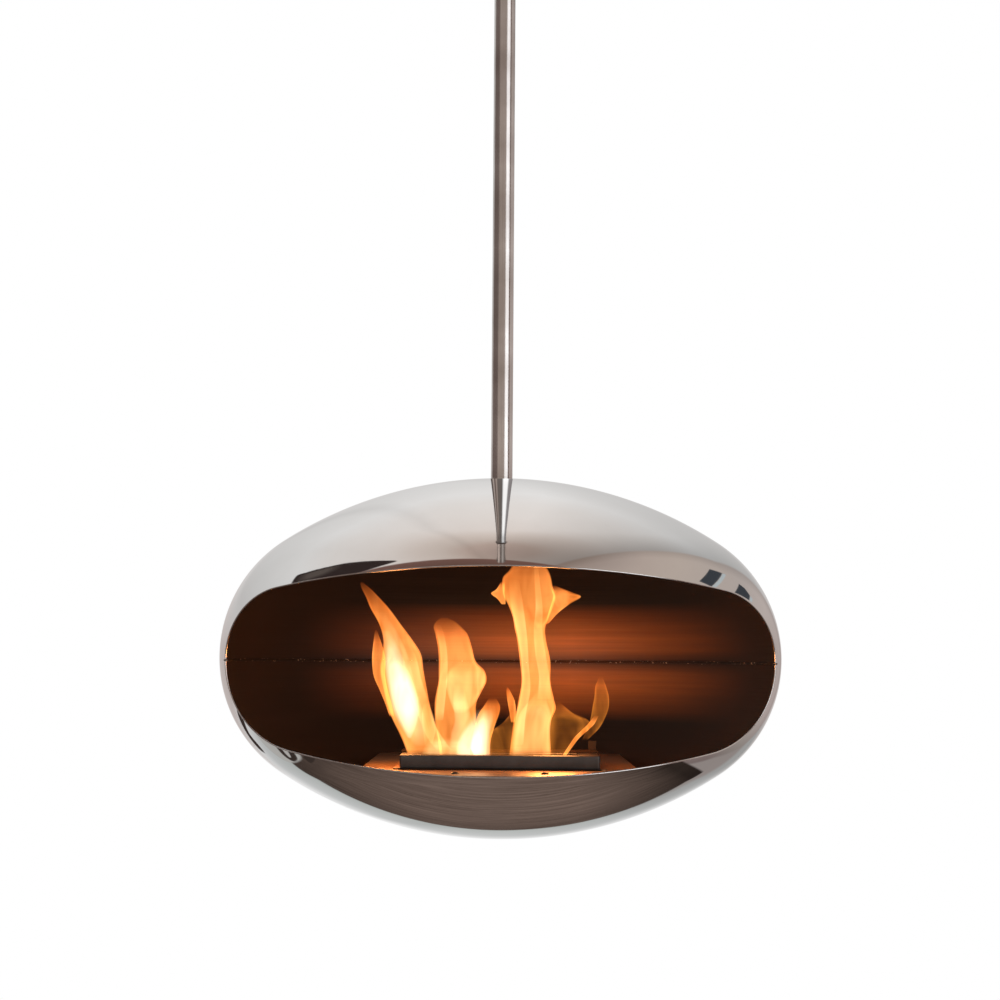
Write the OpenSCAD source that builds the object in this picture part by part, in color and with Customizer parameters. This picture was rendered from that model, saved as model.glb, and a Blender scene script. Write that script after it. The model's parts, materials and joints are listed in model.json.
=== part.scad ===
// Hanging fireplace: a polished steel pod on a ceiling pole that turns in a ball bearing.
// Origin: the ceiling, at the pole's axis. The part hangs down along -Z, its mouth towards -Y.

/* [Pod] */
// Width of the pod at its widest plane
pod_w = 640; // [625:5:700]
// Height of the pod from its lowest point to the pole
pod_h = 410; // [400:5:450]
// Radius of the pod's side, seen in profile
side_r = 156; // [140:1:159]
// Thickness of both spun bowls
wall = 2; // [1.5:0.1:3]
// How far the weld between the bowls, and the mouth's ends, lie below the widest plane
seam_drop = 5; // [3:0.5:8]
// Radius of the weld bead that shows inside the pod
weld_r = 1.8; // [1:0.1:2.5]

/* [Mouth] */
// Steel left at each side of the mouth, seen from the front
mouth_side = 19.5; // [14:0.5:30]
// Height of the brow, from the pod's top down to the mouth
brow_h = 114.3; // [108:0.1:118]
// Height of the lip, from the pod's bottom up to the mouth
lip_h = 85.3; // [84:0.1:92]
// Radius of the mouth's upper corners
mouth_top_r = 77; // [65:1:80]
// Radius of the mouth's lower corners
mouth_low_r = 95; // [80:1:100]

/* [Pole] */
// Diameter of the pole
pole_d = 25; // [24:0.5:32]
// Wall of the pole's tube
pole_wall = 2; // [1.5:0.1:2.5]
// Length of the pole's tube
pole_l = 622; // [600:10:2000]
// Depth of the plugs inside the pole's ends
plug_l = 32; // [28:1:50]
// Height of the thin ring that the pole ends on, above the pod
ring_h = 2; // [1:0.5:6]

/* [Hanger] */
// Diameter of the stud that carries the pod
stud_d = 10; // [8:1:12]
// Radius of the spreader plate inside the pod's crown
spreader_r = 45; // [30:1:60]
// Thickness of the spreader plate
spreader_t = 3; // [2:0.5:5]
// Width across the flats of the cap nut
cap_nut_af = 17; // [17:1:21]
// Height of the cap nut's hexagon
cap_nut_h = 8; // [7:1:12]
// Thickness of the washer on the spreader plate
hanger_washer_t = 2; // [1.5:0.5:3]

/* [Ceiling plate] */
// Diameter of the ceiling plate
plate_d = 120; // [116:2:160]
// Thickness of the ceiling plate
plate_t = 6; // [6:0.5:10]
// Circle that the ceiling bolts lie on
bolt_pcd = 90; // [88:1:100]
// Diameter of the holes for the ceiling bolts
bolt_hole_d = 9; // [7:0.5:11]
// Number of ceiling bolts
bolt_n = 4; // [3:1:6]

/* [Bearing housing] */
// Inner radius of the housing
housing_r = 18; // [16:0.5:20]
// Wall of the housing
housing_wall = 4; // [3:0.5:5]
// Radius of the housing's flange
flange_r = 32; // [31:0.5:34]
// Thickness of the flange
flange_t = 4; // [3:0.5:5]
// Thickness of the housing's floor
floor_t = 6; // [5:0.5:8]
// Distance of the flange screws from the axis
flange_screw_r = 27; // [26:0.5:28]
// Diameter of the flange screws
flange_screw_d = 4; // [3:0.5:5]

/* [Bearing and spindle] */
// Diameter of the spindle
spindle_d = 12; // [10:0.5:12]
// Diameter of the bearing's races
bearing_d = 26; // [26:0.5:28]
// Thickness of each race
race_t = 2.7; // [2.5:0.1:3.5]
// Diameter of the balls
ball_d = 4.8; // [4.5:0.1:5]
// Number of balls
ball_n = 9; // [6:1:9]
// Depth of the groove that the balls run in
groove = 0.5; // [0.3:0.1:0.8]
// Depth of the lower race's seat in the floor
race_seat = 2; // [1:0.5:2.5]
// Thickness of the bush's flange
bush_flange_t = 1.5; // [1:0.5:2]
// Wall of the bush
bush_wall = 2; // [1.5:0.5:2.5]
// Height of the collar on top of the pole
collar_h = 3; // [2:0.5:5]
// Thickness of the washer under the castle nut
washer_t = 2; // [1.5:0.5:3]
// Height of the castle nut
nut_h = 10; // [9:0.5:12]
// Width across the flats of the castle nut
nut_af = 19; // [18:1:22]
// Diameter of the split pin
split_pin_d = 2.2; // [1.8:0.1:2.6]

/* [Canopy] */
// Height of the canopy that covers the bearing
canopy_h = 46; // [45:1:60]
// Thickness of the canopy
canopy_wall = 1.5; // [1:0.1:2]
// Radius of the canopy's lower edge
canopy_r = 9; // [4:0.5:12]
// Number of screws round the canopy
canopy_screw_n = 3; // [3:1:4]
// Diameter of the canopy screws
canopy_screw_d = 3; // [2.5:0.5:3]

/* [Hearth plate] */
// Depth of the hearth plate's top below the widest plane
hearth_drop = 120; // [116:0.5:124]
// Width of the hearth plate between its straight sides
hearth_w = 300; // [270:5:340]
// Thickness of the hearth plate
hearth_t = 2; // [1.5:0.1:3]
// Distance of the plate's screws from its round edge, front and back
hearth_screw_in = 36.7; // [33:0.1:42]
// Distance between the plate's screws, left to right
hearth_screw_gap = 93; // [80:1:110]
// Diameter of the plate's screws
hearth_screw_d = 5; // [4:0.5:6]
// Width of the support bars under the plate
support_w = 130; // [125:5:150]
// Depth of the support bars from the plate's screws inwards
support_in = 16; // [12:1:20]
// Thickness of the support bars
support_t = 3; // [2:0.5:4]

/* [Burner] */
// Width of the burner's raised front
burner_w = 215; // [200:1:235]
// Depth of the burner's raised top, front to back
burner_d = 130; // [122:1:140]
// Height of the burner's raised front above the plate
burner_h = 15; // [12:0.5:18]
// Distance of the raised front ahead of the axis
burner_front = 146; // [140:1:150]
// Sheet thickness of the burner
burner_wall = 1.5; // [1:0.1:2]
// Width of the burner's rim on the plate, outside the raised top
rim_w = 7; // [5:0.5:10]
// Inset of the tank from the raised top
tank_inset = 8; // [6:0.5:12]
// Depth of the tank below the plate's top
tank_drop = 38; // [30:1:40]
// Height of the wool in the tank
wool_h = 28; // [20:1:28]
// Length of the flame slot
slot_w = 170; // [150:1:180]
// Depth of the flame slot, front to back
slot_d = 45; // [35:1:46]
// Distance from the raised front to the flame slot
slot_inset = 20; // [16:1:22]

/* [Damper] */
// Sheet thickness of the sliding damper
damper_t = 1.2; // [1:0.1:1.5]
// How far the closed damper reaches past the slot, front and back
damper_lap = 5; // [3:0.5:6]
// Depth of the damper's turned-down sides
damper_side = 8; // [6:0.5:9]
// Width of the damper's pull tab
tab_w = 9; // [7:0.5:16]
// Height of the pull tab above the damper
tab_h = 10; // [8:0.5:14]

/* [Hidden] */
$fn = 64;
EPS = 0.01;

// Clearances
screw_gap = 0.05;  // between a screw or plug and its threaded or pressed hole, on the radius
run_gap = 0.05;    // between the spindle and its bush, on the radius
free_gap = 0.3;    // where a piece passes through or seats without being held
axial_gap = 0.5;   // between the turning collar and the standing bush
ball_gap = 0.12;   // round each ball
pass_gap = 1.5;    // round the pole where it leaves the canopy
curve_gap = 0.1;   // between curved seats that are clamped together
arc_lap = 0.002;   // the side arc stands this proud of the crown arc, so that the two cross
big_fn = 240;      // facets of the pod's and the mouth's large curves in the preview

// Heights of the ceiling fitting, downwards from the ceiling
tip_room = 2;      // from the ceiling plate to the spindle's tip
tip_proud = 2.5;   // the spindle's tip above the castle nut
bearing_h = 2 * race_t + ball_d - 2 * groove + 2 * ball_gap;
tip_z = -(plate_t + tip_room);
nut_top_z = tip_z - tip_proud;
nut_z = nut_top_z - nut_h;
washer_z = nut_z - washer_t;
race_z = washer_z - bearing_h;          // underside of the lower race
ball_z = washer_z - bearing_h / 2;
floor_z = race_z + race_seat - floor_t; // underside of the housing's floor
bush_z = floor_z - bush_flange_t;
collar_z = bush_z - axial_gap;          // top of the spindle's collar
pole_top_z = collar_z - collar_h;
pole_bottom_z = pole_top_z - pole_l;
crown_z = pole_bottom_z - ring_h;       // top of the pod
pod_z = crown_z - pod_h / 2;            // widest plane of the pod

// Radii of the fitting
pole_r = pole_d / 2;
plug_r = pole_r - pole_wall - screw_gap;
spindle_r = spindle_d / 2;
bush_r = spindle_r + run_gap + bush_wall;
bush_flange_r = bush_r + 3;
bearing_r = bearing_d / 2;
ball_pitch_r = (spindle_r + bearing_r) / 2;
cage_t = 1.6;      // height of the ball cage
cage_w = 6.2;      // width of the ball cage, across its ring
housing_out_r = housing_r + housing_wall;
flange_screw_n = 4;
canopy_in_r = plate_d / 2 + free_gap;
castle_h = 4;      // height of the castle nut's slotted crown
slot_turns = 3;    // slots of the castle nut, each cut right across
split_pin_over = 3;  // length of the split pin's ends past the nut
eye_r = 2.4;       // radius of the split pin's eye

// Hanger under the crown
stud_r = stud_d / 2;
stud_hole_r = stud_r + free_gap;
stud_in = 24;      // length of the stud inside the pole's plug
stud_end = 4;      // length of the stud past the cap nut's washer face, inside the dome
washer_r = 10.5;   // radius of the hanger washer
crown_r = two_arc_crown(pod_w / 2, pod_h / 2, side_r);
spreader_top_r = crown_r - wall - curve_gap;
spreader_low_r = spreader_top_r - spreader_t;
crown_centre = pod_h / 2 - crown_r;
washer_top = crown_centre + sqrt(pow(spreader_low_r, 2) - pow(washer_r, 2));
cap_nut_top = washer_top - hanger_washer_t;

// Mouth, measured from the pod's widest plane
mouth_a = pod_w / 2 - mouth_side;
mouth_over = 10;   // how far each bowl's cut runs past the seam
mouth_up = pod_h / 2 - brow_h + seam_drop;
mouth_down = pod_h / 2 - lip_h - seam_drop;

// Back of the weld bead, just clear of the curved wall
weld_back_r = bowl_inner_r(seam_drop + weld_r);

// Hearth, measured from the pod's widest plane
hearth_z = -hearth_drop;
hearth_r = bowl_inner_r(hearth_drop + hearth_t) - free_gap;
hearth_screw_y = hearth_r - hearth_screw_in;
support_r = bowl_inner_r(hearth_drop + hearth_t + support_t) - free_gap;
support_z = hearth_z - hearth_t - support_t;
screw_head_h = 2.4;
burner_y = -burner_front + burner_d / 2;
rim_z = hearth_z + burner_wall;
burner_top_z = hearth_z + burner_h;
tank_w = burner_w - 2 * tank_inset;
tank_d = burner_d - 2 * tank_inset;
tank_corner = 6;
slot_y0 = -burner_front + slot_inset;
slot_y1 = slot_y0 + slot_d;
damper_d = slot_d + 2 * damper_lap;
damper_y0 = slot_y1 + 1;                       // front edge of the open damper
damper_travel = damper_y0 - slot_y0 + damper_lap;
damper_z = burner_top_z + free_gap;
damper_in_w = burner_w + 2 * free_gap;
damper_w = damper_in_w + 2 * damper_t;

// Radius of the crown arc that joins a side arc of radius rs in an oval of half axes a and b
function two_arc_crown(a, b, rs) = (a * a + b * b - 2 * a * rs) / (2 * (b - rs));

// Inner radius of the pod's side at a height h from the widest plane
function bowl_inner_r(h) = pod_w / 2 - side_r + sqrt(pow(side_r - wall, 2) - h * h);

// A quarter of an oval of half axes a and b, made of a crown arc and a side arc of radius rs.
// It reaches past its widest line by the distance under.
module quarter_oval(a, b, rs, under = 0) {
    rc = two_arc_crown(a, b, rs);
    join_x = a - rs + rs * (a - rs) / (rc - rs);
    intersection() {
        translate([0, b - rc]) circle(r = rc, $fn = 4 * big_fn);
        translate([0, -under]) square([join_x, under + b + 1]);
    }
    intersection() {
        translate([a - rs, 0]) circle(r = rs + arc_lap, $fn = big_fn);
        translate([a - rs, -under]) square([rs + 1, under + b + 1]);
    }
}

// A quarter of the pod's profile at a distance in from its outer face
module pod_quarter(inset, under) {
    quarter_oval(pod_w / 2 - inset, pod_h / 2 - inset, side_r - inset, under);
}

// Section of a bowl's wall, from its crown to a distance under the widest plane
module wall_section(under) {
    difference() {
        pod_quarter(0, under);
        pod_quarter(wall, under + 1);
    }
}

// What the straight cut of the mouth takes from one bowl, above the seam or, flipped, below it
module mouth_cut(height, corner_r, flip) {
    translate([0, 0, -seam_drop]) rotate([90, 0, 0]) linear_extrude(height = pod_w)
        for (side = [0, 1])
            mirror([side, 0]) mirror([0, flip])
                quarter_oval(mouth_a, height, corner_r, mouth_over);
}

// A rectangle with round corners, centred on the origin
module round_rect(w, d, r) {
    square([w - 2 * r, d], center = true);
    square([w, d - 2 * r], center = true);
    for (x = [-1, 1], y = [-1, 1])
        translate([x * (w / 2 - r), y * (d / 2 - r)]) circle(r = r);
}

// Section of a ring, from radius r0 to r1 and from height z0 to z1
module ring_section(r0, r1, z0, z1) {
    translate([r0, z0]) square([r1 - r0, z1 - z0]);
}

// A cylinder from height z0 to z1
module disc(r, z0, z1) {
    translate([0, 0, z0]) cylinder(r = r, h = z1 - z0);
}

// A hexagonal prism of a width across its flats, from height z0 to z1
module hexagon(af, z0, z1) {
    translate([0, 0, z0]) cylinder(r = af / 2 / cos(30), h = z1 - z0, $fn = 6);
}

// Copies what follows round the axis at a distance r
module around(n, r, start = 0) {
    for (i = [0 : n - 1])
        rotate([0, 0, start + i * 360 / n]) translate([r, 0, 0]) children();
}

// The four places of the hearth plate's screws
module at_plate_screws() {
    for (x = [-1, 1], y = [-1, 1])
        translate([x * hearth_screw_gap / 2, y * hearth_screw_y, 0]) children();
}

// ---- Ceiling fitting: stands still ----

module ceiling_plate() {
    color("silver") difference() {
        disc(plate_d / 2, -plate_t, 0);
        around(bolt_n, bolt_pcd / 2, 180 / bolt_n)
            disc(bolt_hole_d / 2, -plate_t - 1, 1);
        around(flange_screw_n, flange_screw_r)
            disc(flange_screw_d / 2 + screw_gap, -plate_t - 1, 1);
        around(canopy_screw_n, plate_d / 2 - canopy_screw_in, 30)
            translate([0, 0, -plate_t / 2]) rotate([0, 90, 0])
                cylinder(r = canopy_screw_d / 2 + screw_gap, h = canopy_screw_in + 1);
    }
}

canopy_screw_in = 8;  // length of the canopy screws inside the plate

module bearing_housing() {
    color("gray") difference() {
        rotate_extrude() {
            ring_section(housing_r, flange_r, -plate_t - flange_t, -plate_t);
            ring_section(housing_r, housing_out_r, floor_z, -plate_t);
            difference() {
                ring_section(bush_r + screw_gap, housing_out_r, floor_z, floor_z + floor_t);
                ring_section(0, bearing_r + screw_gap, race_z, floor_z + floor_t + 1);
            }
        }
        around(flange_screw_n, flange_screw_r)
            disc(flange_screw_d / 2 + free_gap, -plate_t - flange_t - 1, -plate_t + 1);
    }
}

module housing_screws() {
    head_r = flange_screw_d * 0.85;
    head_z = -plate_t - flange_t;
    color("dimgray") around(flange_screw_n, flange_screw_r) difference() {
        union() {
            disc(flange_screw_d / 2, head_z - EPS, -1);
            disc(head_r, head_z - flange_screw_d, head_z);
        }
        hexagon(flange_screw_d * 0.75, head_z - flange_screw_d - 1, head_z - flange_screw_d / 2);
    }
}

module spindle_bush() {
    color("peru") rotate_extrude() {
        ring_section(spindle_r + run_gap, bush_r, bush_z, race_z - free_gap);
        ring_section(spindle_r + run_gap, bush_flange_r, bush_z, floor_z);
    }
}

// A race of the thrust bearing with its ball groove, from height z0 up
module race(z0, bore_r, out_r) {
    rotate_extrude() difference() {
        ring_section(bore_r, out_r, z0, z0 + race_t);
        translate([ball_pitch_r, ball_z]) circle(r = ball_d / 2 + ball_gap);
    }
}

module lower_race() {
    color("lightgray") race(race_z, spindle_r + 1, bearing_r);
}

module upper_race() {
    color("lightgray") race(washer_z - race_t, spindle_r + screw_gap, bearing_r);
}

module bearing_balls() {
    color("white") around(ball_n, ball_pitch_r)
        translate([0, 0, ball_z]) sphere(d = ball_d, $fn = 32);
}

module bearing_cage() {
    color("goldenrod") difference() {
        rotate_extrude()
            ring_section(ball_pitch_r - cage_w / 2, ball_pitch_r + cage_w / 2,
                         ball_z - cage_t / 2, ball_z + cage_t / 2);
        around(ball_n, ball_pitch_r)
            disc(ball_d / 2 + ball_gap, ball_z - cage_t, ball_z + cage_t);
    }
}

module canopy() {
    out_r = canopy_in_r + canopy_wall;
    color("gainsboro") difference() {
        rotate_extrude() difference() {
            cup_section(out_r, canopy_h, canopy_r);
            cup_section(canopy_in_r, canopy_h - canopy_wall, canopy_r - canopy_wall);
            ring_section(0, pole_r + pass_gap, -canopy_h - 1, -canopy_h + canopy_wall + 1);
        }
        around(canopy_screw_n, canopy_in_r - 1, 30)
            translate([0, 0, -plate_t / 2]) rotate([0, 90, 0])
                cylinder(r = canopy_screw_d / 2 + free_gap, h = canopy_wall + 2);
    }
}

// Half section of a cup of radius r that hangs down by h, with a round lower edge
module cup_section(r, h, edge) {
    ring_section(0, r, edge - h, 0);
    ring_section(0, r - edge, -h, 0);
    intersection() {
        translate([r - edge, edge - h]) circle(r = edge);
        ring_section(0, r + 1, -h - 1, 0);
    }
}

module canopy_screws() {
    head_r = canopy_screw_d * 0.9;
    head_t = 1.4;
    color("silver")
        around(canopy_screw_n, plate_d / 2 - canopy_screw_in + 1, 30)
            translate([0, 0, -plate_t / 2]) rotate([0, 90, 0]) {
                seat = canopy_screw_in - 1 + free_gap + canopy_wall;
                cylinder(r = canopy_screw_d / 2, h = seat + EPS);
                translate([0, 0, seat]) cylinder(r1 = head_r, r2 = head_r * 0.75, h = head_t);
            }
}

// ---- Turning spindle, pole and hanger ----

module thrust_washer() {
    color("silver") rotate_extrude()
        ring_section(spindle_r + screw_gap, nut_af / 2 + 1, washer_z, nut_z);
}

module castle_nut() {
    crown_low_z = nut_top_z - castle_h;
    color("lightslategray") difference() {
        union() {
            hexagon(nut_af, nut_z, crown_low_z);
            disc(nut_af / 2 - 0.7, crown_low_z - EPS, nut_top_z);
        }
        disc(spindle_r + screw_gap, nut_z - 1, nut_top_z + 1);
        for (i = [0 : slot_turns - 1])
            rotate([0, 0, i * 180 / slot_turns])
                translate([-nut_af, -split_pin_d / 2 - free_gap, crown_low_z + 1])
                    cube([2 * nut_af, split_pin_d + 2 * free_gap, castle_h]);
    }
}

// Height of the split pin's axis in the castle nut's slots
split_pin_z = nut_top_z - castle_h + 1 + split_pin_d / 2 + free_gap;

module split_pin() {
    half = nut_af / 2 + split_pin_over;
    color("silver") translate([0, 0, split_pin_z]) {
        translate([-half, 0, 0]) rotate([0, 90, 0]) cylinder(d = split_pin_d, h = 2 * half);
        translate([half, 0, 0]) sphere(d = split_pin_d);
        translate([half, 0, 0]) rotate([0, 150, 0]) cylinder(d = split_pin_d, h = split_pin_over);
        translate([-half - eye_r + split_pin_d / 4, 0, 0]) rotate([90, 0, 0])
            rotate_extrude() translate([eye_r, 0]) circle(d = split_pin_d * 0.8);
    }
}

module spindle() {
    color("silver") difference() {
        union() {
            disc(plug_r, pole_top_z - plug_l, pole_top_z);
            disc(pole_r, pole_top_z, collar_z);
            disc(spindle_r, collar_z - EPS, tip_z);
        }
        translate([-spindle_d, 0, split_pin_z]) rotate([0, 90, 0])
            cylinder(d = split_pin_d + 2 * screw_gap, h = 2 * spindle_d);
    }
}

module pole() {
    color("lightgray") rotate_extrude()
        ring_section(pole_r - pole_wall, pole_r, pole_bottom_z, pole_top_z);
}

module pole_end_plug() {
    color("whitesmoke") difference() {
        union() {
            disc(pole_r, crown_z, pole_bottom_z);
            disc(plug_r, pole_bottom_z - EPS, pole_bottom_z + plug_l);
        }
        disc(stud_r + screw_gap, crown_z - 1, crown_z + stud_in + 1);
    }
}

module hanger_stud() {
    color("silver") disc(stud_r, pod_z + cap_nut_top - cap_nut_h - stud_end, crown_z + stud_in);
}

module spreader_plate() {
    color("dimgray") translate([0, 0, pod_z]) rotate_extrude() intersection() {
        translate([0, crown_centre]) difference() {
            circle(r = spreader_top_r, $fn = 4 * big_fn);
            circle(r = spreader_low_r, $fn = 4 * big_fn);
        }
        ring_section(stud_hole_r, spreader_r, 0, pod_h);
    }
}

module hanger_washer() {
    color("silver") translate([0, 0, pod_z]) rotate_extrude()
        ring_section(stud_r + screw_gap, washer_r, cap_nut_top, washer_top);
}

module cap_nut() {
    dome_r = cap_nut_af / 2 - 0.6;
    low = cap_nut_top - cap_nut_h;
    color("silver") translate([0, 0, pod_z]) difference() {
        union() {
            hexagon(cap_nut_af, low, cap_nut_top);
            translate([0, 0, low]) sphere(r = dome_r);
        }
        disc(stud_r + screw_gap, low - stud_end - free_gap, cap_nut_top + 1);
    }
}

// ---- Pod ----

module upper_bowl() {
    color("gainsboro") translate([0, 0, pod_z]) difference() {
        rotate_extrude($fn = big_fn) intersection() {
            wall_section(seam_drop);
            translate([stud_hole_r, -pod_h]) square([pod_w, 2 * pod_h]);
        }
        mouth_cut(mouth_up, mouth_top_r, 0);
    }
}

module lower_bowl() {
    color("gainsboro") translate([0, 0, pod_z]) difference() {
        rotate_extrude($fn = big_fn) mirror([0, 1]) intersection() {
            wall_section(0);
            translate([0, seam_drop]) square([pod_w, pod_h]);
        }
        mouth_cut(mouth_down, mouth_low_r, 1);
    }
}

module seam_weld() {
    color("saddlebrown") translate([0, 0, pod_z]) difference() {
        rotate_extrude($fn = big_fn) intersection() {
            translate([weld_back_r, -seam_drop]) circle(r = weld_r);
            ring_section(weld_back_r - pole_d, weld_back_r, -pod_h, pod_h);
        }
        translate([-mouth_a, -pod_w, -pod_h]) cube([2 * mouth_a, pod_w, 2 * pod_h]);
    }
}

// ---- Hearth ----

module hearth_plate() {
    color("sienna") translate([0, 0, pod_z]) difference() {
        translate([0, 0, hearth_z - hearth_t]) linear_extrude(height = hearth_t) difference() {
            intersection() {
                circle(r = hearth_r, $fn = big_fn);
                square([hearth_w, pod_w], center = true);
            }
            translate([0, burner_y])
                round_rect(tank_w + 2 * free_gap, tank_d + 2 * free_gap, tank_corner);
        }
        at_plate_screws() disc(hearth_screw_d / 2 + free_gap, -pod_h, 0);
    }
}

module plate_supports() {
    color("dimgray") translate([0, 0, pod_z]) difference() {
        for (side = [0, 1])
            mirror([0, side, 0])
                translate([0, 0, support_z]) linear_extrude(height = support_t)
                    intersection() {
                        circle(r = support_r, $fn = big_fn);
                        translate([-support_w / 2, hearth_screw_y - support_in])
                            square([support_w, pod_w]);
                    }
        at_plate_screws() disc(hearth_screw_d / 2 + screw_gap, -pod_h, 0);
    }
}

module plate_screws() {
    head_r = hearth_screw_d * 0.9;
    color("black") translate([0, 0, pod_z + hearth_z]) at_plate_screws() {
        difference() {
            cylinder(r1 = head_r, r2 = head_r * 0.8, h = screw_head_h);
            hexagon(hearth_screw_d * 0.6, screw_head_h / 2, screw_head_h + 1);
        }
        disc(hearth_screw_d / 2, -hearth_t - support_t - 2, EPS);
    }
}

module burner_tray() {
    tank_low = hearth_z - tank_drop;
    color("silver") translate([0, burner_y, pod_z]) difference() {
        union() {
            translate([0, 0, hearth_z]) linear_extrude(height = burner_wall)
                round_rect(burner_w + 2 * rim_w, burner_d + 2 * rim_w, tank_corner);
            translate([0, 0, tank_low]) linear_extrude(height = tank_drop + EPS)
                round_rect(tank_w, tank_d, tank_corner);
        }
        translate([0, 0, tank_low + burner_wall]) linear_extrude(height = tank_drop + burner_h)
            round_rect(tank_w - 2 * burner_wall, tank_d - 2 * burner_wall,
                       tank_corner - burner_wall);
    }
}

module burner_wool() {
    inset = 2 * (burner_wall + free_gap);
    color("ivory")
        translate([0, burner_y, pod_z + hearth_z - tank_drop + burner_wall])
            linear_extrude(height = wool_h)
                round_rect(tank_w - inset, tank_d - inset, tank_corner - burner_wall);
}

module burner_top() {
    color("darkslategray") translate([0, burner_y, pod_z]) difference() {
        translate([0, 0, rim_z]) linear_extrude(height = burner_top_z - rim_z)
            round_rect(burner_w, burner_d, 2 * burner_wall);
        translate([0, 0, rim_z - 1])
            linear_extrude(height = burner_top_z - burner_wall - rim_z + 1)
                round_rect(burner_w - 2 * burner_wall, burner_d - 2 * burner_wall, burner_wall);
        translate([0, (slot_y0 + slot_y1) / 2 - burner_y, rim_z])
            linear_extrude(height = burner_h) round_rect(slot_w, slot_d, 4);
    }
}

module damper() {
    low = damper_z + damper_t - damper_side;
    color("slategray") translate([0, 0, pod_z]) {
        translate([-damper_w / 2, damper_y0, damper_z]) cube([damper_w, damper_d, damper_t]);
        for (side = [0, 1])
            mirror([side, 0, 0])
                translate([damper_in_w / 2, damper_y0, low])
                    cube([damper_t, damper_d, damper_side]);
        translate([damper_w / 2 - tab_w, damper_y0 + damper_d - damper_t, damper_z])
            cube([tab_w, damper_t, damper_t + tab_h]);
    }
}

ceiling_plate();
bearing_housing();
housing_screws();
spindle_bush();
lower_race();
bearing_balls();
bearing_cage();
upper_race();
thrust_washer();
castle_nut();
split_pin();
spindle();
canopy();
canopy_screws();
pole();
pole_end_plug();
hanger_stud();
spreader_plate();
hanger_washer();
cap_nut();
upper_bowl();
lower_bowl();
seam_weld();
hearth_plate();
plate_supports();
plate_screws();
burner_tray();
burner_wool();
burner_top();
damper();
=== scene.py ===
"""Looks of the hanging fireplace: mirror-polished pod, pole, hearth plate, burner, ceiling fitting."""
import json
import math

import bmesh
import bpy
import numpy as np
from mathutils import Matrix, Vector


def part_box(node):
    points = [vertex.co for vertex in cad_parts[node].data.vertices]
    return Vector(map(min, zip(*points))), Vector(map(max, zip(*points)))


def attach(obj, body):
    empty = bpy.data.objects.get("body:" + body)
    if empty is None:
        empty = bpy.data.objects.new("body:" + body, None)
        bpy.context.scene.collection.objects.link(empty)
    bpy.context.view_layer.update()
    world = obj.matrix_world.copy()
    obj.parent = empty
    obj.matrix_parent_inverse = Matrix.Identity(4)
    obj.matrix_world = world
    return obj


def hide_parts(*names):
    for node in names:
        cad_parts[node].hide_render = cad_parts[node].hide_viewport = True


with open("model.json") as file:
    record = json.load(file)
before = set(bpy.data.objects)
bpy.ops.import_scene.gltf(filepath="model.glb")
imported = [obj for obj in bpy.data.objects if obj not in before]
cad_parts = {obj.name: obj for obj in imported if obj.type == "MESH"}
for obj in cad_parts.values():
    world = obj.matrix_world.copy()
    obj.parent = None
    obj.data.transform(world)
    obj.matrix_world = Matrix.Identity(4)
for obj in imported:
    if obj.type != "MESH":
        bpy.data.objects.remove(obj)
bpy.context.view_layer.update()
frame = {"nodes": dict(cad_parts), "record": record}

MM = 0.001
TURN = 2 * math.pi

# ---- Sizes, in metres, as in the part ----
POD_W, POD_H = 0.640, 0.410
SIDE_R = 0.156            # the pod's side, in profile
WALL = 0.002              # spun sheet
SEAM_DROP = 0.005         # weld below the widest plane
MOUTH_HALF = 0.3005
MOUTH_UP, MOUTH_TOP_R = 0.0957, 0.077
MOUTH_DOWN, MOUTH_LOW_R = 0.1147, 0.095
STUD_HOLE_R = 0.0053
BURNER_W, BURNER_D, BURNER_H, SHEET = 0.215, 0.130, 0.015, 0.0015
BURNER_Y = -0.081
BURNER_FRONT = BURNER_Y - BURNER_D / 2
CROWN_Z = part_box("pole_end_plug")[0][2]
POD_Z = CROWN_Z - POD_H / 2
HEARTH_Z = POD_Z - 0.120  # top of the hearth plate
POD, CEILING = "hanging_pod", "ceiling_mount"


# ---- Making meshes ----

class Oval:
    """A quarter oval made of a crown arc and a side arc that share a tangent."""

    def __init__(self, half_w, half_h, side_r):
        self.side_r = side_r
        self.crown_r = (half_w ** 2 + half_h ** 2 - 2 * half_w * side_r) / (2 * (half_h - side_r))
        self.side_x = half_w - side_r
        self.crown_y = half_h - self.crown_r
        self.join = math.asin(self.side_x / (self.crown_r - side_r))

    def at(self, slope, inset=0.0):
        """The point where the oval slopes by an angle from level, an inset inside the outline."""
        flat = slope < self.join
        radius = np.where(flat, self.crown_r, self.side_r) - inset
        x = np.where(flat, 0.0, self.side_x) + radius * np.sin(slope)
        y = np.where(flat, self.crown_y, 0.0) + radius * np.cos(slope)
        return x, y

    def run(self, slope):
        """Length of the outline from the crown to a slope."""
        side = self.crown_r * self.join + self.side_r * (slope - self.join)
        return np.where(slope < self.join, self.crown_r * slope, side)

    def slope(self, run):
        side = self.join + (run - self.crown_r * self.join) / self.side_r
        return np.where(run < self.crown_r * self.join, run / self.crown_r, side)


PROFILE = Oval(POD_W / 2, POD_H / 2, SIDE_R)


def add(name, data):
    """Puts a mesh, a lamp or a camera in the scene, as an object at the origin."""
    obj = bpy.data.objects.new(name, data)
    bpy.context.scene.collection.objects.link(obj)
    return obj


def place(name, mesh, finishes):
    """Puts a mesh in the scene, with its materials."""
    for finish in finishes:
        mesh.materials.append(finish)
    return add(name, mesh)


def fit(obj, body, node):
    """The object rides on a body and stands for a node, whose own mesh it hides."""
    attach(obj, body)
    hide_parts(node)


def mesh_of(name, verts, faces=()):
    mesh = bpy.data.meshes.new(name)
    mesh.from_pydata([tuple(v) for v in verts], [], faces)
    return mesh


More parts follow.
